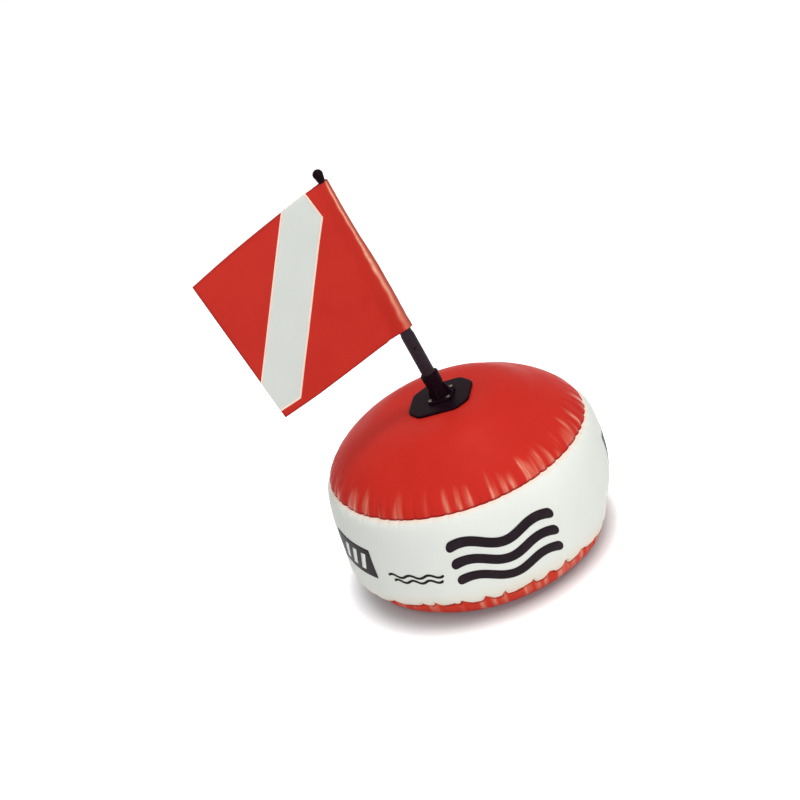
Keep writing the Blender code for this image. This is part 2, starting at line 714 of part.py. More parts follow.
def valve_frame():
    """Return the frame of the valve at the back of the band: Z points out, Y points up."""
    turn = Matrix(((-1, 0, 0, 0), (0, 0, 1, 0), (0, 1, 0, 0), (0, 0, 0, 1)))
    return Matrix.Translation((0, FLOAT_RADIUS, FULLEST_HEIGHT)) @ turn


def make_valve_body(carrier):
    """Valve flange on the band with its barrel inside the float."""
    face = GAP + VALVE_FLANGE_THICKNESS
    profile = [(VALVE_BORE_RADIUS, -VALVE_BARREL_LENGTH), (VALVE_BARREL_RADIUS, -VALVE_BARREL_LENGTH),
               (VALVE_BARREL_RADIUS, GAP), (VALVE_FLANGE_RADIUS, GAP), (VALVE_FLANGE_RADIUS, face - VALVE_EDGE),
               (VALVE_FLANGE_RADIUS - VALVE_EDGE, face), (VALVE_BARREL_RADIUS + VALVE_EDGE, face),
               (VALVE_BARREL_RADIUS, VALVE_LIP_HEIGHT), (VALVE_BORE_RADIUS, VALVE_LIP_HEIGHT)]
    mesh = turned("valve_body", profile, ROUND_MEDIUM, closed=True)
    return add_object("valve_body", mesh, "clear_vinyl", parent=carrier)


def make_valve_cap(carrier):
    """Stopper of the valve on its strap hinge, above the bore."""
    seat = VALVE_LIP_HEIGHT + GAP
    top = seat + VALVE_CAP_THICKNESS
    stopper = VALVE_BORE_RADIUS - VALVE_STOPPER_CLEARANCE
    profile = [(0, seat - VALVE_STOPPER_LENGTH), (stopper - VALVE_STOPPER_TAPER, seat - VALVE_STOPPER_LENGTH),
               (stopper, seat), (VALVE_CAP_RADIUS, seat), (VALVE_CAP_RADIUS, top - VALVE_EDGE),
               (VALVE_CAP_RADIUS - VALVE_EDGE, top), (0, top)]
    hinge = add_empty("valve_hinge", Matrix.Translation((0, VALVE_HINGE_REACH, valve_hinge_height())), carrier)
    back = Matrix.Translation((0, -VALVE_HINGE_REACH, -valve_hinge_height()))
    cap = add_object("valve_cap", turned("valve_cap", profile, ROUND_MEDIUM), "clear_vinyl", parent=hinge,
                     place=back)
    half = VALVE_STRAP_WIDTH / 2
    start = (VALVE_BORE_RADIUS + VALVE_CAP_RADIUS) / 2
    inset = VALVE_EDGE / 2
    strap = block("valve_strap", (-half, start, seat + inset),
                  (half, VALVE_HINGE_REACH, seat + VALVE_STRAP_THICKNESS))
    combine(cap, add_object("valve_strap", strap, parent=hinge, place=back), 'UNION')
    side = half + inset
    knuckle = turned("valve_knuckle", [(0, -side), (VALVE_HINGE_RADIUS, -side), (VALVE_HINGE_RADIUS, side),
                                       (0, side)], ROUND_SMALL)
    combine(cap, add_object("valve_knuckle", knuckle, parent=hinge, place=Matrix.Rotation(QUARTER, 4, 'Y')),
            'UNION')
    return cap


def valve_hinge_height():
    """Return the height of the strap hinge over the band."""
    return VALVE_LIP_HEIGHT + GAP + VALVE_STRAP_THICKNESS / 2


def make_valve_flap(carrier):
    """Soft one-way flap over the barrel's inner end."""
    seat = -VALVE_BARREL_LENGTH - GAP
    axis = seat - GAP / 2 - FLAP_HINGE_RADIUS
    hinge = add_empty("flap_hinge", Matrix.Translation((0, FLAP_RADIUS, axis)), carrier)
    back = Matrix.Translation((0, -FLAP_RADIUS, -axis))
    profile = [(0, seat - FLAP_THICKNESS), (FLAP_RADIUS, seat - FLAP_THICKNESS), (FLAP_RADIUS, seat), (0, seat)]
    flap = add_object("valve_flap", turned("valve_flap", profile, ROUND_MEDIUM), "clear_vinyl", parent=hinge,
                      place=back)
    half = FLAP_HINGE_WIDTH / 2
    knuckle = turned("flap_knuckle", [(0, -half), (FLAP_HINGE_RADIUS, -half), (FLAP_HINGE_RADIUS, half),
                                      (0, half)], ROUND_SMALL)
    combine(flap, add_object("flap_knuckle", knuckle, parent=hinge, place=Matrix.Rotation(QUARTER, 4, 'Y')),
            'UNION')
    return flap


# Line ring and ballast

def make_line_patch():
    """Patch in the recess with the keeper that holds the ring's bar."""
    top = RECESS_DEPTH - GAP
    low = top - PATCH_THICKNESS
    half_x = KEEPER_LENGTH / 2
    half_y = KEEPER_WIDTH / 2
    keeper = block("line_patch", (-half_x, -half_y, 0), (half_x, half_y, top - PATCH_THICKNESS / 2))
    patch = add_object("line_patch", keeper, "black_moulding")
    round_edges(patch, KEEPER_EDGE)
    disc = [(0, low), (PATCH_RADIUS - PATCH_EDGE, low), (PATCH_RADIUS, low + PATCH_EDGE), (PATCH_RADIUS, top),
            (0, top)]
    combine(patch, add_object("patch_disc", turned("patch_disc", disc, ROUND_LARGE)), 'UNION')
    reach = RING_WIRE_RADIUS + GAP
    half = half_x + CUT_OVERRUN
    hole = turned("bar_hole", [(0, -half), (reach, -half), (reach, half), (0, half)], ROUND_SMALL)
    across = Matrix.Translation((0, 0, RING_BAR_HEIGHT)) @ Matrix.Rotation(QUARTER, 4, 'Y')
    combine(patch, add_object("bar_hole", hole, place=across), 'DIFFERENCE')
    return patch


def ring_path():
    """Return the centre line of the D-shaped ring, its bar along X at Y zero."""
    half = RING_HALF_WIDTH
    points = []
    for side, start in ((-1, math.pi), (1, 1.5 * math.pi)):
        centre = Vector((side * (half - RING_CORNER), RING_CORNER))
        for step in range(ARC_STEPS + 1):
            turn = start + QUARTER * step / ARC_STEPS
            points.append(centre + RING_CORNER * Vector((math.cos(turn), math.sin(turn))))
    for step in range(ROUND_SMALL + 1):
        turn = math.pi * step / ROUND_SMALL
        points.append(Vector((half * math.cos(turn), RING_LEG + half * math.sin(turn))))
    return points


def ring_droop():
    """Return the angle at which the ring lies on the ground below its bar."""
    drop = RING_BAR_HEIGHT - RING_WIRE_RADIUS - GAP
    return math.asin(drop / (RING_LEG + RING_HALF_WIDTH))


def make_line_ring():
    """Wire ring for the line, lying on the ground from its bar."""
    path = ring_path()
    shape = bmesh.new()
    hoops = []
    for k, point in enumerate(path):
        along = (path[(k + 1) % len(path)] - path[k - 1]).normalized()
        out = Vector((along.y, -along.x))
        hoop = []
        for side in range(WIRE_SIDES):
            turn = TURN * side / WIRE_SIDES
            flat = point + out * (RING_WIRE_RADIUS * math.cos(turn))
            hoop.append(shape.verts.new((flat.x, flat.y, RING_WIRE_RADIUS * math.sin(turn))))
        hoops.append(hoop)
    for k, hoop in enumerate(hoops):
        after = hoops[(k + 1) % len(hoops)]
        for side in range(WIRE_SIDES):
            ahead = (side + 1) % WIRE_SIDES
            shape.faces.new((hoop[side], hoop[ahead], after[ahead], after[side]))
    place = Matrix.Translation((0, 0, RING_BAR_HEIGHT)) @ Matrix.Rotation(-ring_droop(), 4, 'X')
    return add_object("line_ring", close_mesh("line_ring", shape), "steel", place=place)


def make_ballast():
    """Lead disc and the vinyl pocket that holds it inside the float."""
    seat = RECESS_DEPTH + VINYL_WALL + GAP
    top = seat + BALLAST_THICKNESS
    edge = BALLAST_EDGE
    disc = [(0, seat), (BALLAST_RADIUS - edge, seat), (BALLAST_RADIUS, seat + edge),
            (BALLAST_RADIUS, top - edge), (BALLAST_RADIUS - edge, top), (0, top)]
    add_object("ballast_weight", turned("ballast_weight", disc, ROUND_LARGE), "lead")
    inner = BALLAST_RADIUS + GAP
    roof = top + GAP
    outer = [(0, roof + VINYL_WALL), (inner + VINYL_WALL, roof + VINYL_WALL),
             (inner + VINYL_WALL, seat + VINYL_WALL), (inner + POCKET_FLANGE, seat + VINYL_WALL),
             (inner + POCKET_FLANGE, seat), (inner, seat), (inner, roof), (0, roof)]
    add_object("ballast_pocket", turned("ballast_pocket", outer, ROUND_LARGE), "clear_vinyl")


def main():
    """Build every piece of the float."""
    clear_scene()
    make_top_panel()
    make_side_band()
    make_bottom_panel()
    seat = add_empty("mast_seat", mast_frame())
    plate = add_empty("plate_seat", plate_frame())
    make_base_plate(plate)
    make_mast_socket(plate, seat)
    make_screws(plate)
    make_mast_tube(seat)
    make_mast_rod(seat)
    make_mast_pin(seat)
    make_mast_cap(seat)
    make_flag(seat)
    valve = add_empty("valve_place", valve_frame())
    make_valve_body(valve)
    make_valve_cap(valve)
    make_valve_flap(valve)
    make_line_patch()
    make_line_ring()
    make_ballast()


main()
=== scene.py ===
"""Looks of the dive flag float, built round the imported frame.

Lengths are metres in the frame's own axes: +Z is up, the front of the float faces -Y, the mast leans to -X.
The welded shell, its print, the base plate, the mast tube and the flag are modelled here. The socket, screws,
rod, valve, ring and ballast are frame nodes that get their finishes here.
"""

import json
import logging
import math
from dataclasses import dataclass, field
from enum import Enum
from typing import Any, Callable, Sequence, Union

import bmesh
import bpy
import numpy as np
from mathutils import Matrix, Vector


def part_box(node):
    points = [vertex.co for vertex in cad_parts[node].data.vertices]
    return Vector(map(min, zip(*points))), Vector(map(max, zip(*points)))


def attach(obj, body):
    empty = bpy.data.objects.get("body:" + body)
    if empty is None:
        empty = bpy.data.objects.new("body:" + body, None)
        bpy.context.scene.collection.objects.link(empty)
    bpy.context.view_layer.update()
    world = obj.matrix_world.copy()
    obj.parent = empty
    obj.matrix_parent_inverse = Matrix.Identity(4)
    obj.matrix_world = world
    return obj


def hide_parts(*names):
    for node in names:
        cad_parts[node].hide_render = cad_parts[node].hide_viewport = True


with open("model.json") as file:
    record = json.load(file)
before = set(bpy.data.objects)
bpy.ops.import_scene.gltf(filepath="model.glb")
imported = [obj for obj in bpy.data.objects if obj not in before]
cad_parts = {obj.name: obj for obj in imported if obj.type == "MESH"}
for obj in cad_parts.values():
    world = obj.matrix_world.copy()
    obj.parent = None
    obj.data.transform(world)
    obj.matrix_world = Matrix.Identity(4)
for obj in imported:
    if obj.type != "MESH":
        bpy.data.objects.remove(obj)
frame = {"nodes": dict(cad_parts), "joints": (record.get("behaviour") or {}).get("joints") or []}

log = logging.getLogger("dive_flag_float")

Number = Union[float, "Maths"]
Colour = tuple[float, float, float]
Place = tuple[float, float, float]
Point = tuple[float, float]
Socket = bpy.types.NodeSocket
QUARTER_TURN = math.pi / 2
FAR_AWAY = 1.0                  # distance of a surface that a seam doesn't reach
TINY = 1e-6


class Body(Enum):
    """Bodies of the frame that the new pieces ride on."""

    FLOAT = "float"
    MAST = "mast"
    FLAG = "flag"


class Seam(Enum):
    """The two welded seams of the shell, by the name of the attribute with the distance to each."""

    TOP = "top_distance"
    BOTTOM = "bottom_distance"


class Side(Enum):
    """The two faces of the flag, by the sign of their offset from its middle."""

    FRONT = 1
    BACK = -1


# Curves


def part_of(values: np.ndarray, start: float, end: float) -> np.ndarray:
    """Return how far values are on the way from start to end, held between 0 and 1."""
    return np.clip((values - start) / (end - start), 0.0, 1.0)


def eased(share: np.ndarray) -> np.ndarray:
    """Return a share with soft ends."""
    return share * share * (3.0 - 2.0 * share)


def bell(values: np.ndarray, middle: float, width: float) -> np.ndarray:
    """Return a bell curve that is 1 at its middle."""
    return np.exp(-((values - middle) / width) ** 2)


def between(first: Any, second: Any, share: Any) -> Any:
    """Return what lies between two values."""
    return first + (second - first) * share


def full_turn(columns: int) -> np.ndarray:
    """Return evenly spaced angles round a circle."""
    return math.tau * np.arange(columns) / columns


# Node tools


def operator(operation: str, swapped: bool = False) -> Callable[["Maths", Number], "Maths"]:
    """Make the method behind one of Python's operators.

    Args:
        operation: The Math node's operation.
        swapped: Whether the wrapped socket comes second.

    Returns:
        The method.
    """
    def method(own: "Maths", other: Number) -> "Maths":
        """Return the result of the Math node."""
        return own.nodes.math(operation, *((other, own) if swapped else (own, other)))

    return method


class Maths:
    """A number socket of a node tree, on which Python's operators add Math nodes."""

    __add__ = __radd__ = operator("ADD")
    __sub__, __rsub__ = operator("SUBTRACT"), operator("SUBTRACT", swapped=True)
    __mul__ = __rmul__ = operator("MULTIPLY")
    __truediv__ = operator("DIVIDE")
    __pow__ = operator("POWER")

    def __init__(self, nodes: "Nodes", socket: Socket) -> None:
        """Wrap a socket.

        Args:
            nodes: The maker of the tree's nodes.
            socket: An output socket of that tree.
        """
        self.nodes = nodes
        self.socket = socket

    def sine(self) -> "Maths":
        """Return the sine."""
        return self.nodes.math("SINE", self)

    def clamp(self) -> "Maths":
        """Return the value held between 0 and 1."""
        return self.nodes.math("MINIMUM", self.nodes.math("MAXIMUM", self, 0.0), 1.0)

    def step(self, low: float, high: float) -> "Maths":
        """Return a smooth step from 0 at low to 1 at high."""
        made = self.nodes.add("ShaderNodeMapRange", {"interpolation_type": "SMOOTHSTEP"},
                              {"Value": self, "From Min": low, "From Max": high})
        return Maths(self.nodes, made.outputs[0])


class Nodes:
    """Makes and links the nodes of one shader or geometry tree."""

    def __init__(self, tree: bpy.types.NodeTree) -> None:
        """Keep the tree.

        Args:
            tree: The node tree to fill.
        """
        self.tree = tree

    def add(self, kind: str, settings: dict[str, Any] | None = None,
            inputs: dict[Any, Any] | None = None) -> bpy.types.Node:
        """Make a node, apply its settings and then fill its sockets.

        Args:
            kind: The node's type.
            settings: Properties of the node.
            inputs: Values or links, by the socket's name or number.

        Returns:
            The new node.
        """
        node = self.tree.nodes.new(kind)
        for name, value in (settings or {}).items():
            setattr(node, name, value)
        self.fill(node, inputs or {})
        return node

    def fill(self, node: bpy.types.Node, inputs: dict[Any, Any]) -> None:
        """Link or set a node's inputs, by name or number."""
        for key, value in inputs.items():
            self.join(value, node.inputs[key])

    def join(self, value: Any, socket: Socket) -> None:
        """Link a socket to another, or set its own value."""
        if isinstance(value, Maths):
            value = value.socket
        if isinstance(value, Socket):
            self.tree.links.new(value, socket)
        else:
            socket.default_value = value

    def math(self, operation: str, *values: Number) -> Maths:
        """Add a Math node and return its result."""
        node = self.add("ShaderNodeMath", {"operation": operation}, dict(enumerate(values)))
        return Maths(self, node.outputs[0])

    def vector(self, x: Number, y: Number, z: Number) -> Socket:
        """Combine three numbers into a vector."""
        return self.add("ShaderNodeCombineXYZ", None, {0: x, 1: y, 2: z}).outputs[0]

    def parts(self, vector: Socket) -> list[Maths]:
        """Split a vector into its three numbers."""
        outputs = self.add("ShaderNodeSeparateXYZ", None, {0: vector}).outputs
        return [Maths(self, outputs[k]) for k in range(3)]

    def vector_math(self, operation: str, *values: Any, **named: Any) -> Socket:
        """Add a Vector Math node and return its vector."""
        inputs = {**dict(enumerate(values)), **named}
        return self.add("ShaderNodeVectorMath", {"operation": operation}, inputs).outputs[0]

    def noise(self, vector: Socket, scale: float, detail: float = 2.0) -> Maths:
        """Add a noise texture and return its value, about 0.5 on average."""
        node = self.add("ShaderNodeTexNoise", None, {"Vector": vector, "Scale": scale, "Detail": detail})
        return Maths(self, node.outputs[0])

    def stretched(self, vector: Socket, scales: Place, detail: float) -> Maths:
        """Add a noise texture with its own scale on each axis."""
        return self.noise(self.vector_math("MULTIPLY", vector, scales), 1.0, detail)

    def kept(self, name: str) -> Maths:
        """Read a number that the mesh keeps under a name, in a shader tree."""
        return Maths(self, self.add("ShaderNodeAttribute", {"attribute_name": name}).outputs["Fac"])

    def mix(self, factor: Number, first: Any, second: Any) -> Socket:
        """Mix two colours."""
        first, second = [(*c, 1.0) if isinstance(c, tuple) else c for c in (first, second)]
        node = self.add("ShaderNodeMix", {"data_type": "RGBA"}, {0: factor, 6: first, 7: second})
        return node.outputs[2]

    def bump(self, height: Maths, distance: float, strength: float) -> Socket:
        """Turn a height into a normal."""
        inputs = {"Strength": strength, "Distance": distance, "Height": height}
        return self.add("ShaderNodeBump", None, inputs).outputs[0]

    def seen_plainly(self) -> Maths:
        """Return 1 for camera, glossy and transmission rays, and 0 for scattered light."""
        path = self.add("ShaderNodeLightPath")
        kinds = ("Camera", "Glossy", "Transmission")
        rays = [Maths(self, path.outputs[f"Is {kind} Ray"]) for kind in kinds]
        return (rays[0] + rays[1] + rays[2]).clamp()


class GeometryTree(Nodes):
    """A geometry tree with named sizes, whose result gets the finish that it is given."""

    def __init__(self, name: str, sizes: Sequence[str]) -> None:
        """Start the tree.

        Args:
            name: Name of the tree.
            sizes: Names of its number inputs.
        """
        super().__init__(bpy.data.node_groups.new(name, 'GeometryNodeTree'))
        sockets = [("Geometry", 'Geometry'), *((label, 'Float') for label in sizes), ("Finish", 'Material')]
        add_socket = self.tree.interface.new_socket
        for label, kind in sockets:
            add_socket(name=label, in_out='INPUT', socket_type=f"NodeSocket{kind}")
        add_socket(name="Geometry", in_out='OUTPUT', socket_type='NodeSocketGeometry')
        self.given = self.add("NodeGroupInput").outputs
        self.size = {label: Maths(self, self.given[label]) for label in sizes}

    def read(self, name: str, kind: str = 'FLOAT') -> Maths:
        """Return what the points keep under a name."""
        made = self.add("GeometryNodeInputNamedAttribute", {"data_type": kind}, {"Name": name})
        return Maths(self, made.outputs[0])

    def write(self, geometry: Socket, name: str, value: Maths) -> Socket:
        """Keep a number on the points under a name."""
        made = self.add("GeometryNodeStoreNamedAttribute", {"data_type": 'FLOAT', "domain": 'POINT'},
                        {"Geometry": geometry, "Name": name, "Value": value})
        return made.outputs[0]

    def close(self, geometry: Socket) -> bpy.types.NodeTree:
        """Make instances real, give the result its finish and return the tree."""
        plain = self.add("GeometryNodeRealizeInstances", None, {0: geometry})
        dressed = self.add("GeometryNodeSetMaterial", None,
                           {"Geometry": plain.outputs[0], "Material": self.given["Finish"]})
        self.add("NodeGroupOutput", None, {0: dressed.outputs[0]})
        return self.tree


# Finishes


class Finish:
    """Base of the finishes: a Principled material with one recipe."""

    name: str

    def material(self) -> bpy.types.Material:
        """Return the material, made on first use."""
        label = f"{self.name}_finish"
        made = bpy.data.materials.get(label)
        if made is None:
            made = bpy.data.materials.new(label)
            made.use_nodes = True
            nodes = Nodes(made.node_tree)
            place = nodes.add("ShaderNodeTexCoord").outputs["Object"]
            nodes.fill(made.node_tree.nodes["Principled BSDF"], self.recipe(nodes, place))
        return made

    def recipe(self, nodes: Nodes, place: Socket) -> dict[str, Any]:
        """Make the nodes of the finish.

        Args:
            nodes: The maker of the material's nodes.
            place: Object coordinates.

        Returns:
            What fills the inputs of the Principled shader, by name.
        """
        raise NotImplementedError


@dataclass(frozen=True)
class VinylFinish(Finish):
    """Calendered vinyl sheet: soft gloss, fine grain, paler where it is creased at a seam, partly from whitening
    where it is strained and partly as a painted highlight.
    """

    name: str
    colour: Colour
    deep: Colour
    # pale crease colour: whitening where the sheet is strained, with a painted highlight
    stress_and_glint: Colour
    edge: Colour
    foot: Colour                    # tint by the lower seam: painted light from below, bounce light on the red and warm shade on the white band
    roughness: float
    gloss: float                    # of the lit creases
    mirror: float = 0.05
    # share of the pale crease colour, partly a painted highlight
    stress_and_glint_share: float = 0.5
    cloud_scale: float = 11.0
    fleck_scale: float = 242.0
    peel_scale: float = 160.0
    grain_scale: float = 2600.0
    foot_reach: float = 0.034

    def recipe(self, nodes: Nodes, place: Socket) -> dict[str, Any]:
        """Mix the sheet's clouds, the painted highlight of its creases, the painted light at its foot and its
        seam line, and bump its grain.
        """
        cloud = nodes.noise(place, self.cloud_scale, 4.0)
        fleck = nodes.noise(place, self.fleck_scale, 3.0)
        glint = nodes.kept("glint")
        tone = nodes.mix((cloud * 1.6 + fleck * 0.3 - 0.50).clamp(), self.colour, self.deep)
        # painted light from below, near the lower seam
        low = 1.0 - nodes.kept(Seam.BOTTOM.value).step(0.0, self.foot_reach)
        tone = nodes.mix(low * (cloud + 0.2), tone, self.foot)
        # the lit creases: partly whitening where the sheet is strained, partly a painted highlight
        tone = nodes.mix((glint * self.stress_and_glint_share * (cloud + 0.5)).clamp(), tone, self.stress_and_glint)
        grain = nodes.noise(place, self.grain_scale) + nodes.noise(place, self.peel_scale) * 1.5
        # by the seams: a dark line on the red, a painted pale highlight on the white band
        return {"Base Color": nodes.mix(nodes.kept("line_and_painted_light") * 0.8, tone, self.edge),
                "Roughness": (cloud - 0.5) * 0.22 + (fleck - 0.5) * 0.08 + self.roughness,
                "Normal": nodes.bump(grain, 0.00008, 0.35), "Specular IOR Level": self.mirror,
                "Coat Weight": glint * self.gloss, "Coat Roughness": 0.18}


@dataclass(frozen=True)
class PrintFinish(Finish):
    """Screen-printed ink: dense, slightly duller than the vinyl, with pinholes."""

    name: str
    colour: Colour
    worn: Colour
    roughness: float = 0.34
    mirror: float = 0.06

    def recipe(self, nodes: Nodes, place: Socket) -> dict[str, Any]:
        """Mix the ink with its thin spots."""
        patch = nodes.noise(place, 60.0, 3.0)
        pinhole = nodes.noise(place, 900.0).step(0.66, 0.74)
        thin = (pinhole * 0.5 + (patch - 0.45) * 0.7).clamp()
        return {"Base Color": nodes.mix(thin, self.colour, self.worn),
                "Roughness": patch * 0.16 + self.roughness,
                "Normal": nodes.bump(nodes.noise(place, 1500.0), 0.00004, 0.3),
                "Specular IOR Level": self.mirror}


@dataclass(frozen=True)
class ClothFinish(Finish):
    """Coated flag cloth, woven on the piece's own UV map in metres."""

    name: str
    colour: Colour
    deep: Colour
    edge: Colour
    roughness: float
    gloss: float = 0.0
    # the painted highlight along the sleeve's fold
    worn: Colour = (0.900, 0.520, 0.340)
    thread: float = 0.00055
    mirror: float = 0.08

    def recipe(self, nodes: Nodes, place: Socket) -> dict[str, Any]:
        """Weave warp and weft, with slubs in the threads and clouds in the dye, and paint the highlight along the
        sleeve's fold with the shade beside it.
        """
        across, along, _ = nodes.parts(nodes.add("ShaderNodeUVMap", {"uv_map": "weave"}).outputs[0])
        turns = math.tau / self.thread
        weave = (across * turns).sine() * (along * turns).sine() * 0.5 + 0.5
        slub = nodes.noise(nodes.vector(across * 40.0, along * 900.0, 0.0), 1.0)
        slub = slub + nodes.noise(nodes.vector(across * 900.0, along * 40.0, 3.0), 1.0)
        dye = nodes.noise(place, 16.0, 4.0)
        glint = nodes.kept("glint")
        tone = nodes.mix((dye * 1.3 + slub * 0.45 - 0.75).clamp(), self.colour, self.deep)
        tone = nodes.mix(weave * 0.12, tone, self.deep)
        # painted highlight along the sleeve's fold
        tone = nodes.mix(glint * 0.85, tone, self.worn)
        # the cloth's dark rim, and the painted shade beside the sleeve's fold
        return {"Base Color": nodes.mix(nodes.kept("line_and_painted_light") * 0.7, tone, self.edge),
                "Roughness": (dye - 0.5) * 0.18 + weave * 0.10 + self.roughness,
                "Normal": nodes.bump(weave + slub * 0.6, 0.00012, 0.35), "Specular IOR Level": self.mirror,
                "Coat Weight": glint * self.gloss, "Coat Roughness": 0.22}


@dataclass(frozen=True)
class MouldedFinish(Finish):
    """Moulded plastic: fine spark-eroded grain, flow marks and a few pale scuffs."""

    name: str
    colour: Colour
    scuffed: Colour
    roughness: float
    grain: float = 0.0002
    scuffs: float = 0.35
    mirror: float = 0.02

    def recipe(self, nodes: Nodes, place: Socket) -> dict[str, Any]:
        """Mix the flow marks and scuffs, and bump the grain."""
        flow = nodes.stretched(place, (30.0, 30.0, 90.0), 3.0)
        marks = nodes.stretched(place, (700.0, 90.0, 420.0), 3.0)
        scuff = marks.step(0.60, 0.72) * nodes.noise(place, 55.0).step(0.42, 0.62)
        grain = nodes.noise(place, 1 / self.grain) + marks * 0.3
        return {"Base Color": nodes.mix(scuff * self.scuffs, self.colour, self.scuffed),
                "Roughness": (flow - 0.5) * 0.20 + scuff * 0.12 + self.roughness,
                "Normal": nodes.bump(grain, 0.00010, 0.40), "Specular IOR Level": self.mirror}


@dataclass(frozen=True)
class SteelFinish(Finish):
    """Drawn or cast metal with fine marks and a little tarnish."""

    name: str
    colour: Colour
    tarnish: Colour
    roughness: float

    def recipe(self, nodes: Nodes, place: Socket) -> dict[str, Any]:
        """Mix the tarnish and bump the draw marks."""
        spots = nodes.noise(place, 240.0, 4.0)
        drawn = nodes.stretched(place, (300.0, 2600.0, 2600.0), 2.0)
        return {"Base Color": nodes.mix(spots.step(0.45, 0.75) * 0.6, self.colour, self.tarnish),
                "Roughness": spots * 0.22 + self.roughness, "Metallic": 1.0,
                "Normal": nodes.bump(drawn, 0.00004, 0.4)}


@dataclass(frozen=True)
class SoftVinylFinish(Finish):
    """Milky soft vinyl of the valve, with light that goes a little way in."""

    name: str
    colour: Colour
    cloudy: Colour

    def recipe(self, nodes: Nodes, place: Socket) -> dict[str, Any]:
        """Mix the milky clouds and bump the moulding's skin."""
        cloud = nodes.noise(place, 130.0, 3.0)
        return {"Base Color": nodes.mix(cloud, self.colour, self.cloudy), "Roughness": cloud * 0.15 + 0.20,
                "Normal": nodes.bump(nodes.noise(place, 1400.0), 0.00005, 0.3),
                "Subsurface Weight": 0.15, "Subsurface Scale": 0.002}


@dataclass(frozen=True)
class FloorFinish(Finish):
    """White studio floor: it takes the shadow, which its colour and glow paint darker under the float and fade
    out round it, and it looks white to the camera and in reflections.
    """

    name: str
    colour: Colour                  # under the float: painted shade, bluish against the red that it throws down
    plain: Colour
    glow: float
    far_glow: float
    centre: Point                   # of the painted shadow, beside the float's own axis, as the lamps put the real one
    narrow: float                   # how much wider than deep the painted shadow is, under one
    inner: float                    # from here the painted shadow fades
    outer: float                    # up to here

    def recipe(self, nodes: Nodes, place: Socket) -> dict[str, Any]:
        """Paint the shadow darker under the float and fade it out, and add the glow that only camera, glossy and
        transmission rays see.
        """
        x, y, _ = nodes.parts(place)
        x, y = (x - self.centre[0]) * self.narrow, y - self.centre[1]
        away = nodes.math("SQRT", x * x + y * y).step(self.inner, self.outer)
        level = nodes.seen_plainly() * (away * (self.far_glow - self.glow) + self.glow)
        return {"Base Color": nodes.mix(away, self.colour, self.plain), "Roughness": 1.0,
                "Specular IOR Level": 0.0, "Emission Strength": 1.0,
                "Emission Color": nodes.mix(level, (0.0, 0.0, 0.0), (1.0, 1.0, 1.0))}


# its pale crease colour is partly a painted highlight; its foot tint is painted bounce light from the floor
RED_VINYL = VinylFinish(
    "red_vinyl", colour=(0.580, 0.028, 0.0185), deep=(0.500, 0.022, 0.014), stress_and_glint=(0.740, 0.240, 0.140),
    edge=(0.200, 0.010, 0.009), foot=(0.610, 0.060, 0.032), roughness=0.42, gloss=1.0, mirror=0.03, stress_and_glint_share=0.8)
# its pale edge colour is a painted highlight by the seams; its foot tint is painted warm shade from below
WHITE_VINYL = VinylFinish(
    "white_vinyl", colour=(0.765, 0.790, 0.740), deep=(0.730, 0.755, 0.710), stress_and_glint=(0.780, 0.800, 0.755),
    edge=(0.850, 0.740, 0.640), foot=(0.800, 0.680, 0.540), roughness=0.42, gloss=0.0, stress_and_glint_share=0.0)
# the weld beads' cream colour is a painted highlight along the seams
SEAM_GLINT_VINYL = VinylFinish(
    "seam_glint_vinyl", colour=(0.920, 0.760, 0.660), deep=(0.860, 0.640, 0.530), stress_and_glint=(0.920, 0.800, 0.720),
    edge=(0.920, 0.760, 0.660), foot=(0.920, 0.760, 0.660), roughness=0.34, gloss=0.0)
BLACK_INK = PrintFinish("black_ink", colour=(0.014, 0.008, 0.011), worn=(0.050, 0.036, 0.042))
WHITE_INK = PrintFinish("white_ink", colour=(0.800, 0.830, 0.790), worn=(0.680, 0.700, 0.670))
# its edge colour darkens the rim and paints the shade beside the sleeve's fold
RED_CLOTH = ClothFinish("red_cloth", colour=(0.540, 0.027, 0.016), deep=(0.470, 0.021, 0.013),
                        edge=(0.220, 0.012, 0.009), roughness=0.45, gloss=0.5)
STRIPE_CLOTH = ClothFinish("stripe_cloth", colour=(0.650, 0.680, 0.640), deep=(0.590, 0.625, 0.585),
                           edge=(0.650, 0.680, 0.640), roughness=0.55)
STRIPE_EDGE = ClothFinish("stripe_edge", colour=(0.960, 0.760, 0.640), deep=(0.880, 0.640, 0.520),
                          edge=(0.960, 0.760, 0.640), roughness=0.45)
BLACK_MOULDING = MouldedFinish("black_moulding", colour=(0.010, 0.003, 0.006), scuffed=(0.050, 0.040, 0.048),
                               roughness=0.36)
BLACK_TUBE = MouldedFinish("black_tube", colour=(0.024, 0.015, 0.021), scuffed=(0.110, 0.095, 0.115),
                           roughness=0.40, grain=0.0003, scuffs=0.5, mirror=0.06)
PALE_ROD = MouldedFinish("pale_rod", colour=(0.700, 0.680, 0.630), scuffed=(0.600, 0.580, 0.540),
                         roughness=0.38, grain=0.0003)
DARK_STEEL = SteelFinish("dark_steel", (0.190, 0.165, 0.130), tarnish=(0.110, 0.095, 0.080), roughness=0.28)
PIN_STEEL = SteelFinish("pin_steel", (0.014, 0.012, 0.013), tarnish=(0.010, 0.009, 0.009), roughness=0.35)
STEEL = SteelFinish("steel", (0.620, 0.620, 0.630), tarnish=(0.400, 0.380, 0.350), roughness=0.16)
LEAD = SteelFinish("lead", (0.240, 0.250, 0.270), tarnish=(0.150, 0.150, 0.160), roughness=0.52)
MILKY_VINYL = SoftVinylFinish("milky_vinyl", (0.620, 0.660, 0.660), cloudy=(0.760, 0.780, 0.770))
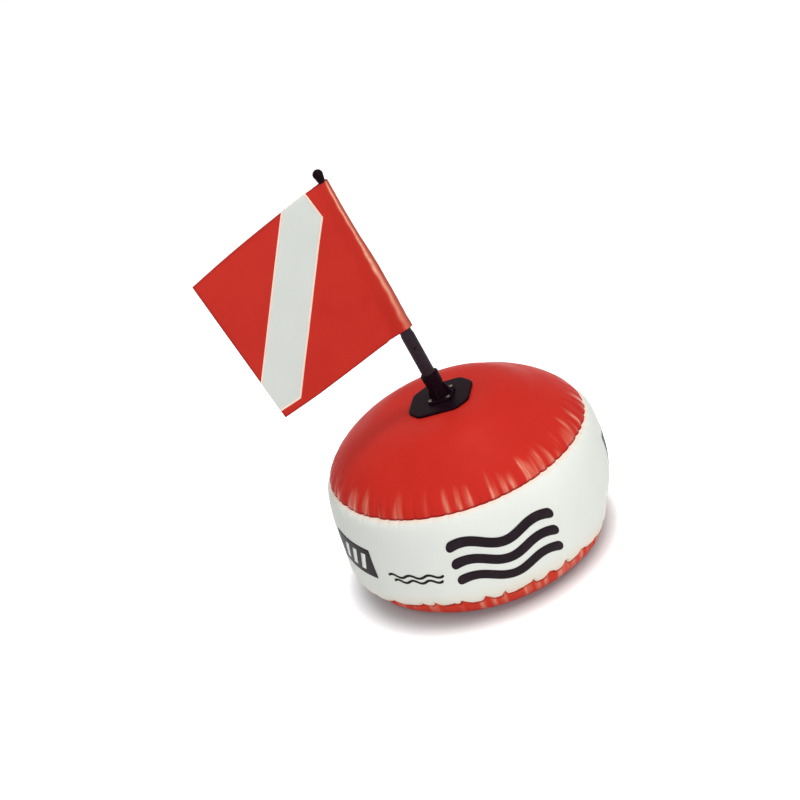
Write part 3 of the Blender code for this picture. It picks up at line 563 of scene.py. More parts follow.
# its colour and glow paint the shadow under the float and fade it out
STUDIO_FLOOR = FloorFinish("studio_floor", (0.650, 0.750, 0.775), plain=(0.935, 0.940, 0.945), glow=0.01,
                           far_glow=0.60, centre=(-0.013, 0.003), narrow=0.98, inner=0.145, outer=0.190)

NODE_FINISHES = (
    (BLACK_MOULDING, ("mast_socket", "mast_cap", "line_patch")),
    (PALE_ROD, ("mast_rod",)),
    (PIN_STEEL, ("mast_pin",)),
    (DARK_STEEL, tuple(f"socket_screw_{k}" for k in (1, 2, 3, 4))),
    (MILKY_VINYL, ("valve_body", "valve_cap", "valve_flap", "ballast_pocket")),
    (STEEL, ("line_ring",)),
    (LEAD, ("ballast_weight",)),
)


# Mesh tools


def joint(name: str) -> dict[str, Any]:
    """Return a joint of the frame by its name."""
    return next(item for item in frame["joints"] if item["name"] == name)


def link(name: str, data: Any) -> bpy.types.Object:
    """Link a mesh, lamp or camera to the scene as an object at the origin."""
    item = bpy.data.objects.new(name, data)
    bpy.context.scene.collection.objects.link(item)
    return item


def baked(item: bpy.types.Object) -> bpy.types.Mesh:
    """Give an object the plain mesh that its modifiers make, and return that mesh."""
    graph = bpy.context.evaluated_depsgraph_get()
    mesh = bpy.data.meshes.new_from_object(item.evaluated_get(graph))
    item.modifiers.clear()
    item.data = mesh
    return mesh


def grown(name: str, base: bpy.types.Mesh, tree: bpy.types.NodeTree,
          values: dict[str, Any]) -> bpy.types.Object:
    """Run a geometry tree on a mesh and keep the plain result.

    Args:
        name: Name of the piece.
        base: The mesh that the tree starts from.
        tree: The geometry tree.
        values: The values of its inputs, by name.

    Returns:
        The new piece, without a modifier.
    """
    item = link(name, base)
    step = item.modifiers.new(tree.name, 'NODES')
    step.node_group = tree
    for socket in tree.interface.items_tree:
        if socket.name in values:
            step[socket.identifier] = values[socket.name]
    baked(item).name = name
    bpy.data.meshes.remove(base)
    return item


def thicken(piece: bpy.types.Object, thickness: float, offset: float) -> None:
    """Give an open sheet its thickness, and keep it as a plain mesh."""
    step = piece.modifiers.new("thickness", 'SOLIDIFY')
    step.thickness = thickness
    step.offset = offset
    step.use_even_offset = True
    baked(piece)


def settle(piece: bpy.types.Object, body: Body, slot: str, *replaced: str) -> bpy.types.Object:
    """Put a finished piece on its body, hide the frame nodes that it stands for, and report it."""
    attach(piece, body.value)
    if replaced:
        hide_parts(*replaced)
    log.info("%s: %d faces on %s", piece.name, len(piece.data.polygons), body.value)
    return piece


def facing_out(mesh: bpy.types.Mesh) -> bpy.types.Mesh:
    """Turn the faces of a closed mesh outward, and shade it smooth."""
    shape = bmesh.new()
    shape.from_mesh(mesh)
    bmesh.ops.recalc_face_normals(shape, faces=shape.faces)
    shape.to_mesh(mesh)
    shape.free()
    mesh.shade_smooth()
    return mesh


def grid_mesh(name: str, points: np.ndarray, closed: bool = False) -> bpy.types.Mesh:
    """Make a mesh of quads from rows and columns of points.

    Args:
        name: Name of the mesh.
        points: An array of rows, columns and coordinates.
        closed: Whether the last row and column join the first, which makes the faces point outward.

    Returns:
        The mesh, shaded smooth.
    """
    rows, columns = points.shape[:2]
    number = np.arange(rows * columns).reshape(rows, columns)
    if closed:
        number = np.pad(number, ((0, 1), (0, 1)), mode="wrap")
    quads = np.stack([number[:-1, :-1], number[:-1, 1:], number[1:, 1:], number[1:, :-1]], axis=-1)
    mesh = bpy.data.meshes.new(name)
    mesh.from_pydata(points.reshape(-1, 3).tolist(), [], quads.reshape(-1, 4).tolist())
    mesh.shade_smooth()
    return facing_out(mesh) if closed else mesh


def store(mesh: bpy.types.Mesh, name: str, values: np.ndarray, kind: str = 'FLOAT') -> None:
    """Keep a number, or a vector, for each point of a mesh."""
    kept = mesh.attributes.new(name, kind, 'POINT')
    kept.data.foreach_set("value" if kind == 'FLOAT' else "vector", np.asarray(values, np.float32).ravel())


def store_seams(mesh: bpy.types.Mesh, top: np.ndarray, low: np.ndarray, free: np.ndarray,
                out: np.ndarray) -> None:
    """Keep what the puckers read.

    Args:
        mesh: The mesh.
        top: Distance of each point from the top seam.
        low: Distance from the bottom seam.
        free: How free the sheet is to bulge there, from 0 to 1.
        out: Its way outward.
    """
    for name, values in ((Seam.TOP.value, top), (Seam.BOTTOM.value, low), ("free", free)):
        store(mesh, name, values)
    store(mesh, "out", out, 'FLOAT_VECTOR')


def add_weave(mesh: bpy.types.Mesh, across: np.ndarray, along: np.ndarray) -> None:
    """Give a mesh its weave map, in metres, from a pair of numbers for each point."""
    layer = mesh.uv_layers.new(name="weave")
    corners = np.empty(len(mesh.loops), np.int64)
    mesh.loops.foreach_get("vertex_index", corners)
    pairs = np.stack([across.ravel()[corners], along.ravel()[corners]], axis=1)
    layer.data.foreach_set("uv", pairs.astype(np.float32).ravel())


# Shell


@dataclass(frozen=True)
class SeamPuckers:
    """How the sheets gather at a welded seam, and the geometry tree that does it."""

    depth: float = 0.0026           # how far a crease pulls the seam in
    reach: float = 0.046            # how far a crease runs from the top seam
    creases: float = 66.0           # how many there are round the top seam
    low_depth: float = 0.0030
    low_reach: float = 0.022
    band_reach: float = 0.012       # how far a crease of the top seam runs down the band
    low_creases: float = 36.0
    tooth: float = 0.0155           # how far a crease lifts the bottom seam
    tooth_reach: float = 0.016      # how far from the seam that is felt
    scallop: float = 0.0006         # fine unevenness of the seams themselves
    seam_zone: float = 0.009        # as far from a seam the sheets are drawn straight in
    line_and_painted_light: Point = (0.0020, 0.0046)     # where the line by a seam fades: dark on the red, a painted pale highlight on the white band
    bulge: float = 0.0009           # unevenness of the sheets between the seams
    bulge_start: Point = (0.004, 0.030)     # where it begins, and where it is full
    seed: float = 7.3
    low_seed: float = 31.0          # what the bottom seam's creases add to it

    def values(self) -> dict[str, float]:
        """Return the tree's named sizes."""
        names = ("depth", "reach", "creases", "low_depth", "low_reach", "low_creases", "tooth", "scallop",
                 "bulge", "seed")
        return {name.capitalize().replace("_", " "): getattr(self, name) for name in names}

    @staticmethod
    def around(nodes: Nodes, ring: Sequence[Maths], scale: float, drift: Number, detail: float = 1.0) -> Maths:
        """Return noise that closes round the float.

        Args:
            nodes: The maker of the tree's nodes.
            ring: Cosine and sine of the point's turn round the float.
            scale: How fine the noise is.
            drift: Moves and stretches the pattern.
            detail: The texture's detail.
        """
        return nodes.noise(nodes.vector(ring[0] * scale, ring[1] * scale, drift), 1.0, detail)

    def pull(self, nodes: Nodes, ring: Sequence[Maths], distance: Maths, creases: Number, reach: Number,
             seed: Maths) -> Maths:
        """Return how deep a crease is at a point, from 0 to 1.

        Args:
            nodes: The maker of the tree's nodes.
            ring: Cosine and sine of the point's turn round the float.
            distance: Distance from the seam.
            creases: How many creases there are round the seam.
            reach: How far they run.
            seed: Moves the pattern.
        """
        turn = nodes.math("ARCTAN2", ring[1], ring[0]) / math.tau
        drift = self.around(nodes, ring, 4.5, distance * 11.0 + seed, 2.0) * 2.6
        edge = nodes.math("ABSOLUTE", nodes.math("FRACT", turn * creases + drift) - 0.5) * 2.0
        slow = self.around(nodes, ring, 7.0, seed, 2.0)
        strength = ((slow - 0.36) * 3.2).clamp() * 0.6 + 0.4
        length = self.around(nodes, ring, 9.0, seed + 5.0) * 1.3 + 0.35
        fall = (1.0 - distance / (reach * length)).clamp()
        return (edge ** 3.0) * strength * (fall ** 1.3)

    def glint(self, nodes: Nodes, ring: Sequence[Maths], nearest: Maths, upper: Maths, seed: Maths) -> Maths:
        """Return where the creases catch the light, from 0 to 1; the vinyl's finish paints these places as a pale
        highlight and gives them a glossy coat.

        Args:
            nodes: The maker of the tree's nodes.
            ring: Cosine and sine of the point's turn round the float.
            nearest: Distance from the nearest seam.
            upper: How deep the creases of the top seam are there.
            seed: Moves the pattern.
        """
        broad = self.around(nodes, ring, 15.0, nearest * 9.0 + seed)
        narrow = self.around(nodes, ring, 42.0, nearest * 22.0 + seed)
        length = self.around(nodes, ring, 12.0, seed + 9.0) * 0.05
        fade = nearest.step(0.001, 0.005) * (1.0 - (nearest - length).step(-0.012, 0.010))
        lit = (broad - nearest * 2.0).step(0.44, 0.60) * (0.38 + narrow.step(0.50, 0.62) * 0.62)
        return lit * fade * (1.0 - upper * 0.8)

    def tree(self) -> bpy.types.NodeTree:
        """Return the geometry tree that draws a panel in at its seams."""
        found = bpy.data.node_groups.get("seam_puckers")
        if found:
            return found
        nodes = GeometryTree("seam_puckers", list(self.values()))
        size, seed = nodes.size, nodes.size["Seed"]
        x, y, z = nodes.parts(nodes.add("GeometryNodeInputPosition").outputs[0])
        radius = nodes.math("SQRT", x * x + y * y)
        ring = (x / radius, y / radius)
        top, low, free = [nodes.read(name) for name in (Seam.TOP.value, Seam.BOTTOM.value, "free")]
        out = nodes.read("out", 'FLOAT_VECTOR').socket
        nearest = nodes.math("MINIMUM", top, low)
        upper = self.pull(nodes, ring, top, size["Creases"], size["Reach"], seed)
        lower = self.pull(nodes, ring, low, size["Low creases"], size["Low reach"], seed + self.low_seed)
        at_seam = 1.0 - nearest.step(0.0, self.seam_zone)
        fine = self.around(nodes, ring, 21.0, seed) * 2.0 - 0.6
        depth = upper * size["Depth"] + lower * size["Low depth"] + fine * at_seam * size["Scallop"]
        radial = nodes.vector(ring[0], ring[1], 0.0)
        way = nodes.add("ShaderNodeMix", {"data_type": 'VECTOR'}, {0: at_seam, 4: out, 5: radial}).outputs[1]
        moved = nodes.vector_math("SCALE", way, Scale=depth * -1.0)
        slow = nodes.noise(nodes.vector(x, y, z + seed), 17.0, 1.0) - 0.5
        away = nearest.step(*self.bulge_start) * free
        swell = nodes.vector_math("SCALE", out, Scale=slow * away * size["Bulge"] * 2.0)
        tooth = nodes.vector(0.0, 0.0, lower * (1.0 - low.step(0.0, self.tooth_reach)) * size["Tooth"])
        total = nodes.vector_math("ADD", nodes.vector_math("ADD", moved, swell), tooth)
        shaped = nodes.add("GeometryNodeSetPosition", None,
                           {"Geometry": nodes.given["Geometry"], "Offset": total})
        # the seam line: dark on the red, a painted pale highlight on the white band
        kept = nodes.write(shaped.outputs[0], "line_and_painted_light", 1.0 - nearest.step(*self.line_and_painted_light))
        kept = nodes.write(kept, "glint", self.glint(nodes, ring, nearest, upper, seed))
        return nodes.close(kept)

    def gather(self, name: str, base: bpy.types.Mesh, finish: Finish,
               on_band: bool = False) -> bpy.types.Object:
        """Draw a panel, print or weld in at the seams and give it its finish."""
        values = {**self.values(), "Finish": finish.material()}
        if on_band:
            values["Reach"] = self.band_reach
        return grown(name, base, self.tree(), values)


@dataclass(frozen=True)
class Bump:
    """One unevenness of the shell: a bell curve round the float and up the band."""

    size: float
    turn: float                     # degrees
    width: float                    # degrees
    level: float = 0.0              # share of the band's height, from the bottom seam
    spread: float = math.inf        # of that share

    def at(self, turn: np.ndarray, share: np.ndarray | float = 0.0) -> np.ndarray:
        """Return its size at turns round the float and shares of the band's height."""
        away = (turn - self.turn + 180.0) % 360.0 - 180.0
        return self.size * bell(away, 0.0, self.width) * bell(share, self.level, self.spread)


@dataclass(frozen=True)
class Outline:
    """A turned outline: radius, height and the distance to each seam along it."""

    radius: np.ndarray
    height: np.ndarray
    top: np.ndarray
    low: np.ndarray

    @staticmethod
    def length(radius: np.ndarray, height: np.ndarray) -> np.ndarray:
        """Return the distance of each point along the line from the first."""
        return np.concatenate([[0.0], np.cumsum(np.hypot(np.diff(radius), np.diff(height)))])

    def normals(self) -> np.ndarray:
        """Return the unit normals on the outer side of the outline."""
        across, up = np.gradient(self.radius), np.gradient(self.height)
        size = np.maximum(np.hypot(across, up), 1e-12)
        normals = np.stack([up / size, -across / size], axis=1)
        if self.radius[-1] < TINY:
            normals[-1] = (0.0, math.copysign(1.0, normals[-2][1]))
            return normals if normals[0, 0] > 0 else -normals
        return normals


@dataclass(frozen=True)
class Shell:
    """The inflated shell: crown, band and underside, with the weld beads between them."""

    float_radius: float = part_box("side_band")[1].x
    top_radius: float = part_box("top_panel")[1].x
    bottom_radius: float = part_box("bottom_panel")[1].x
    top_height: float = (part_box("top_panel")[0].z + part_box("side_band")[1].z) / 2
    bottom_height: float = (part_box("bottom_panel")[1].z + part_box("side_band")[0].z) / 2
    fullest_height: float = 0.098
    crown_height: float = 0.2254
    crown_roundness: float = 1.175
    rest_radius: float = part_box("bottom_panel")[1].x - 0.0420
    wall: float = 0.0008
    gap: float = 0.0003
    mast_x: float = 0.003
    mast_y: float = -0.002
    plate_tilt: float = math.radians(4.5)
    plate_top_height: float = 0.2243
    plate_thickness: float = 0.0035
    seat_flat_radius: float = 0.050
    seat_blend_radius: float = 0.118
    recess_depth: float = 0.014
    recess_roof_radius: float = 0.034
    recess_mouth_radius: float = 0.040
    recess_edge: float = 0.0015
    bead_radius: float = 0.0012
    bead_sides: int = 8
    sinks: tuple[Bump, ...] = (     # of the lower seam, in shares of its height
        Bump(0.21, -28.0, 22.0), Bump(-0.06, -140.0, 30.0), Bump(0.10, 60.0, 40.0), Bump(0.12, -147.0, 14.0),
        Bump(-0.22, -2.0, 13.0))
    sink_edge: float = 0.020        # over which a sink starts at the resting ring
    right_seam: Bump = Bump(0.0035, -4.0, 30.0)                 # the top seam stands out here
    right_flat: Bump = Bump(0.0118, -8.0, 24.0, 0.07, 0.27)     # the band's foot is flatter here
    right_full: Bump = Bump(0.0024, -32.0, 16.0, 0.42, 0.20)    # its middle is fuller
    left_seam: Bump = Bump(0.0036, 172.0, 18.0)
    left_full: Bump = Bump(0.0068, 196.0, 24.0, 0.05, 0.25)
    columns: int = 720
    outline_steps: int = 66
    inner_step: int = 5             # the inner wall keeps every fifth point of the outline
    inner_bend: float = 0.12        # and each that bends more than this, in radians
    puckers: SeamPuckers = field(default_factory=SeamPuckers)

    def crown_at(self, radius: np.ndarray) -> np.ndarray:
        """Return the height of the crown at distances from its axis, before the plate's seat is pressed in."""
        flat = np.clip(radius / self.top_radius, 0.0, 1.0)
        bulge = np.maximum(1.0 - flat * flat, 0.0) ** (self.crown_roundness / 2)
        return between(self.top_height, self.crown_height, bulge)

    def crown_outline(self) -> Outline:
        """Return the crown from the top seam to its centre."""
        share = 1.0 - (1.0 - np.linspace(0.0, 1.0, self.outline_steps)) ** 1.4
        radius = self.top_radius * np.sin(share * QUARTER_TURN)[::-1]
        height = self.crown_at(radius)
        along = Outline.length(radius, height)
        return Outline(radius, height, along, np.full_like(along, FAR_AWAY))

    def band_outline(self) -> Outline:
        """Return the band from the bottom seam to the top seam."""
        steps = np.linspace(1.0, 0.0, self.outline_steps)
        share = steps - 0.085 * np.sin(math.tau * steps)
        upper = share < 0.5
        base = np.where(upper, self.top_radius, self.bottom_radius)
        half = np.where(upper, self.top_height - self.fullest_height, self.fullest_height - self.bottom_height)
        radius = between(base, self.float_radius, np.sin(math.pi * share))
        height = self.fullest_height + half * np.cos(math.pi * share)
        along = Outline.length(radius, height)
        return Outline(radius, height, along[-1] - along, along)

    def under_outline(self) -> Outline:
        """Return the underside from the bottom seam to the centre of the recess."""
        turn = np.linspace(1.0, 0.0, 40) ** 1.2 * QUARTER_TURN
        side = between(self.rest_radius, self.bottom_radius, np.sin(turn))
        mouth, roof = self.recess_mouth_radius, self.recess_roof_radius
        edge, depth = self.recess_edge, self.recess_depth
        flat = np.linspace(self.rest_radius, mouth + edge, 10)[1:]
        inner = [(mouth, edge * 0.35), (mouth - edge / 2, edge), (roof + edge / 2, depth - edge),
                 (roof, depth - edge * 0.35), (roof - edge, depth), (roof / 2, depth), (0.0, depth)]
        radius = np.concatenate([side, flat, [r for r, _ in inner]])
        height = np.concatenate([self.bottom_height * (1.0 - np.cos(turn)), np.zeros(len(flat)),
                                 [h for _, h in inner]])
        along = Outline.length(radius, height)
        return Outline(radius, height, np.full_like(along, FAR_AWAY), along)

    def press(self, points: np.ndarray) -> np.ndarray:
        """Press the tilted seat of the base plate into points of the crown, and return how free each is."""
        x, y = points[:, 0], points[:, 1]
        away = np.hypot(x - self.mast_x, y - self.mast_y)
        keep = 1.0 - eased(part_of(away, self.seat_flat_radius, self.seat_blend_radius))
        drop = self.plate_thickness + self.gap
        centre_x = self.mast_x + drop * math.sin(self.plate_tilt)
        centre_z = self.plate_top_height - drop * math.cos(self.plate_tilt)
        seat = centre_z + math.tan(self.plate_tilt) * (x - centre_x)
        points[:, 2] += keep * (seat - self.crown_at(np.hypot(x, y)))
        return 1.0 - keep

    def above_rest(self, points: np.ndarray) -> np.ndarray:
        """Return how free points of the underside are: not at all where it rests."""
        return part_of(points[:, 2], 0.0, self.bottom_height) * (np.hypot(*points[:, :2].T) > self.rest_radius)

    def uneven(self, points: np.ndarray) -> np.ndarray:
        """Return points moved by the shell's own unevenness: fuller or flatter sides, sagging lower seams."""
        x, y, z = np.moveaxis(np.array(points, float), -1, 0)
        turn, radius = np.degrees(np.arctan2(y, x)), np.hypot(x, y)
        under = part_of(z, 0.0, self.bottom_height) * part_of(radius, self.rest_radius,
                                                              self.rest_radius + self.sink_edge)
        over = 1.0 - eased(part_of(z, self.bottom_height, self.fullest_height))
        sink = sum(bump.at(turn) for bump in self.sinks) * np.where(z < self.bottom_height, under, over)
        rise = part_of(z, self.fullest_height, self.top_height)
        share = part_of(z, self.bottom_height, self.top_height)
        push = self.right_seam.at(turn) * rise ** 2 - self.right_flat.at(turn, share) * (1.0 - rise)
        push += self.right_full.at(turn, share)
        push += self.left_seam.at(turn) * rise ** 5 + self.left_full.at(turn, share)
        scale = 1.0 + push * (radius / self.top_radius) ** 4 / np.maximum(radius, TINY)
        return np.stack([x * scale, y * scale, z - self.bottom_height * sink], axis=-1)

    def turned(self, name: str, outline: Outline, freedom: Callable[[np.ndarray], np.ndarray]) -> bpy.types.Mesh:
        """Turn an outline into a closed sheet with the shell's wall.

        Args:
            name: Name of the mesh.
            outline: The outer outline.
            freedom: Returns how free points are to bulge, and may move them.

        Returns:
            A closed mesh with the attributes that the puckers read.
        """
        normals, last, columns = outline.normals(), len(outline.radius) - 1, self.columns
        bend = np.abs(np.diff(np.unwrap(np.arctan2(normals[:, 1], normals[:, 0]))))
        sharp = np.maximum(np.append(bend[0], bend), np.append(bend, bend[-1])) > self.inner_bend
        inner = [k for k in range(last, -1, -1) if k % self.inner_step == 0 or k == last or sharp[k]]
        order = np.array([*range(last + 1), *inner])
        wall = np.where(np.arange(len(order)) > last, self.wall, 0.0)
        radius = outline.radius[order] - wall * normals[order, 0]
        radius = np.where(outline.radius[order] < TINY, 0.0, radius)
        height = outline.height[order] - wall * normals[order, 1]
        turn = full_turn(columns)
        spokes = np.stack([np.cos(turn), np.sin(turn)], axis=1)
        places, source, rings = [], [], []
        for row, out, up in zip(order, radius, height):
            count = 1 if out == 0.0 else columns
            rings.append([len(places) + c % count for c in range(columns)])
            places += [(out * x, out * y, up) for x, y in spokes[:count]]
            source += [(row, c) for c in range(count)]
        pairs = list(zip(rings, rings[1:]))
        if radius[0] != 0.0 and radius[-1] != 0.0:
            pairs.append((rings[-1], rings[0]))
        faces = [list(dict.fromkeys((low[c], low[c + 1], high[c + 1], high[c]))) for low, high in pairs
                 if low[0] != low[1] or high[0] != high[1] for c in range(-columns, 0)]
        points = np.array(places)
        free = freedom(points)
        mesh = bpy.data.meshes.new(name)
        mesh.from_pydata(self.uneven(points).tolist(), [], faces)
        rows, turns = np.array(source).T
        level, up = normals[rows].T
        out = np.stack([level * spokes[turns, 0], level * spokes[turns, 1], up], axis=1)
        store_seams(facing_out(mesh), outline.top[rows], outline.low[rows], free, out)
        return mesh

    def bead(self, name: str, seam: Seam) -> bpy.types.Mesh:
        """Return the round weld bead of a seam, with what the puckers read."""
        at_top = seam is Seam.TOP
        radius = self.top_radius if at_top else self.bottom_radius
        height = self.top_height if at_top else self.bottom_height
        turn, angle = full_turn(self.columns), full_turn(self.bead_sides)[:, None]
        ring = radius + self.bead_radius * np.cos(angle)
        level = np.repeat(height + self.bead_radius * np.sin(angle), self.columns, axis=1)
        points = np.stack([ring * np.cos(turn), ring * np.sin(turn), level], axis=-1)
        mesh = grid_mesh(name, self.uneven(points), closed=True)
        near, far = np.zeros(level.size), np.full(level.size, FAR_AWAY)
        spokes = np.stack([np.cos(turn), np.sin(turn), np.zeros_like(turn)], axis=1)
        store_seams(mesh, near if at_top else far, far if at_top else near, near,
                    np.tile(spokes, (self.bead_sides, 1)))
        return mesh

    def build(self) -> None:
        """Make the three panels and the two weld beads."""
        gather = self.puckers.gather
        crown = gather("crown", self.turned("crown", self.crown_outline(), self.press), RED_VINYL)
        settle(crown, Body.FLOAT, "red_vinyl", "top_panel")
        sheet = self.turned("white_band", self.band_outline(), lambda points: np.ones(len(points)))
        settle(gather("white_band", sheet, WHITE_VINYL, on_band=True), Body.FLOAT, "white_vinyl", "side_band")
        under = gather("underside", self.turned("underside", self.under_outline(), self.above_rest), RED_VINYL)
        settle(under, Body.FLOAT, "red_vinyl", "bottom_panel")
        for name, seam in (("top_weld", Seam.TOP), ("bottom_weld", Seam.BOTTOM)):
            settle(gather(name, self.bead(name, seam), SEAM_GLINT_VINYL), Body.FLOAT, "red_vinyl")


# Print


@dataclass(frozen=True)
class Stroke:
    """A wavy stroke with round ends."""

    swing: float                    # half of its rise and fall
    waves: float                    # how many it makes
    width: float
    climb: float = 0.0              # over its length
    end_steps: int = 10
    thinnest: float = 0.0008        # square of its width's least share, at the very ends

    def edges(self, left: float, right: float, level: float, step: float) -> list[np.ndarray]:
        """Return the points of its lower and its upper edge.

        Args:
            left: Where it starts, round the band.
            right: Where it ends.
            level: Height of its middle.
            step: Distance between its points.
        """
        half, length = self.width / 2, right - left
        end = half * (1.0 - np.cos(np.linspace(0.0, QUARTER_TURN, self.end_steps)))
        count = int((length - self.width) / step) + 2
        middle = np.linspace(left + half, right - half, count)[1:-1]
        across = np.concatenate([left + end, middle, right - end[::-1]])
        share = (across - left) / length
        inset = np.minimum(np.minimum(across - left, right - across) / half, 1.0)
        taper = np.sqrt(np.clip(1.0 - (1.0 - inset) ** 2, self.thinnest, 1.0))
        waves = math.tau * self.waves
        height = level + self.swing * np.sin(waves * share) + self.climb * (share - 0.5)
        steep = self.swing * waves * np.cos(waves * share) / length
        thick = half * taper * np.sqrt(1.0 + steep * steep)
        return [np.stack([across, height + way * thick], axis=1) for way in (-1, 1)]


@dataclass(frozen=True)
class BandPrint:
    """Generic print on the band: a block with bars, two ripples and three bold waves, in two groups."""

    shell: Shell
    groups: tuple[Point, ...] = ((math.radians(-170.0), 1.0), (math.radians(-17.0), 0.91))      # start, spread
    middle: float = 0.093
    ink: float = 0.00018
    step: float = 0.0022
    slope: float = -0.07            # how the block and its bars fall to the right
    block_turn: float = math.radians(24.6)
    block_heights: Point = (-0.013, 0.028)
    block_corner: float = 0.0012
    bar_width: float = 0.0085
    bar_heights: Point = (-0.006, 0.018)
    bar_lean: float = 0.009
    bar_places: tuple[float, ...] = (0.16, 0.40, 0.64)          # shares of the block's length
    bar_layers: float = 2.2         # how high the bars lie, in layers of ink
    ripple_start: float = math.radians(31.8)
    ripple_length: float = 0.076
    ripple: Stroke = Stroke(0.0022, 3.0, 0.0034)
    wave_start: float = math.radians(61.0)
    wave_turn: float = math.radians(44.0)
    wave_rows: tuple[float, ...] = (0.0235, 0.0, -0.0235)
    wave: Stroke = Stroke(0.0062, 1.5, 0.0128, -0.007)

    def on_band(self, across: np.ndarray, up: np.ndarray, lift: float) -> tuple[np.ndarray, ...]:
        """Return points on the band, their outward directions and their shares from the top seam.

        Args:
            across: Distance round the band, in metres at its fullest.
            up: Height.
            lift: How far the points stand off the band.
        """
        shell, fullest = self.shell, self.shell.fullest_height
        upper = up > fullest
        half = np.where(upper, shell.top_height - fullest, fullest - shell.bottom_height)
        base = np.where(upper, shell.top_radius, shell.bottom_radius)
        cosine = np.clip((up - fullest) / half, -1.0, 1.0)
        sine = np.sqrt(1.0 - cosine * cosine)
        radius = between(base, shell.float_radius, sine)
        slope = (shell.float_radius - base) * cosine / np.maximum(half * sine, TINY)
        size = np.sqrt(1.0 + slope * slope)
        turn = across / shell.float_radius
        out = np.stack([np.cos(turn), np.sin(turn), slope], axis=-1) / size[..., None]
        points = np.stack([radius * np.cos(turn), radius * np.sin(turn), up], axis=-1) + lift * out
        return shell.uneven(points), out, np.arccos(cosine) / math.pi

    def ribbon(self, name: str, start: float, edges: Sequence[np.ndarray], finish: Finish = BLACK_INK,
               layers: float = 1.0) -> None:
        """Print the area between two edges.

        Args:
            name: Name of the piece.
            start: Turn of the group's start.
            edges: Points of the lower and of the upper edge: distance round from the start, and height.
            finish: The ink.
            layers: How far the ink stands off the band, in layers of ink.
        """
        low, high = edges
        count = max(3, int(np.abs(high[:, 1] - low[:, 1]).max() / self.step) + 2)
        share = np.linspace(0.0, 1.0, count)[:, None, None]
        flat = low[None] * (1.0 - share) + high[None] * share
        across = flat[..., 0] + start * self.shell.float_radius
        points, out, place = self.on_band(across, flat[..., 1], self.ink * layers)
        mesh = grid_mesh(name, points)
        span = self.shell.top_height - self.shell.bottom_height
        store_seams(mesh, place * span, (1.0 - place) * span, np.ones_like(place), out)
        piece = self.shell.puckers.gather(name, mesh, finish, on_band=True)
        thicken(piece, self.ink, 1.0)
        settle(piece, Body.FLOAT, "black_moulding" if finish is BLACK_INK else "white_vinyl")

    def block(self, right: float) -> list[np.ndarray]:
        """Return the edges of the block with round corners, up to its right end."""
        corner, edge = self.block_corner, np.linspace(0.0, 1.0, 7)
        middle = np.linspace(corner, right - corner, 26)[1:-1]
        across = np.concatenate([corner * edge, middle, right - corner * edge[::-1]])
        inset = np.minimum(np.minimum(across, right - across) / corner, 1.0)
        drop = corner * (1.0 - np.sqrt(np.clip(1.0 - (1.0 - inset) ** 2, 0.0, 1.0)))
        low, high = [self.middle + level + self.slope * across for level in self.block_heights]
        return [np.stack([across, low + drop], axis=1), np.stack([across, high - drop], axis=1)]

    def bar(self, left: float) -> list[np.ndarray]:
        """Return the edges of a slanting bar on the block, from the foot of its left side."""
        low, high = [self.middle + level for level in self.bar_heights]
        up = np.linspace(low, high, 16) + self.slope * left
        shift = self.bar_lean * (up - up[0]) / (high - low)
        return [np.stack([left + width + shift, up], axis=1) for width in (0.0, self.bar_width)]

    def build(self) -> None:
        """Print both groups."""
        for number, (start, spread) in enumerate(self.groups, 1):
            reach = self.shell.float_radius * spread
            right = self.block_turn * reach
            self.ribbon(f"print_block_{number}", start, self.block(right))
            for k, place in enumerate(self.bar_places, 1):
                self.ribbon(f"print_bar_{number}_{k}", start, self.bar(right * place), WHITE_INK, self.bar_layers)
            small = self.ripple_start * reach
            for k in range(2):
                edges = self.ripple.edges(small + 0.006 * k, small + self.ripple_length * spread - 0.003 * k,
                                          self.middle - 0.0075 - 0.0078 * k, self.step)
                self.ribbon(f"print_ripple_{number}_{k + 1}", start, edges)
            large = self.wave_start * reach
            for k, level in enumerate(self.wave_rows, 1):
                edges = self.wave.edges(large, large + self.wave_turn * reach, self.middle + level, self.step)
                self.ribbon(f"print_wave_{number}_{k}", start, edges)


# Base plate


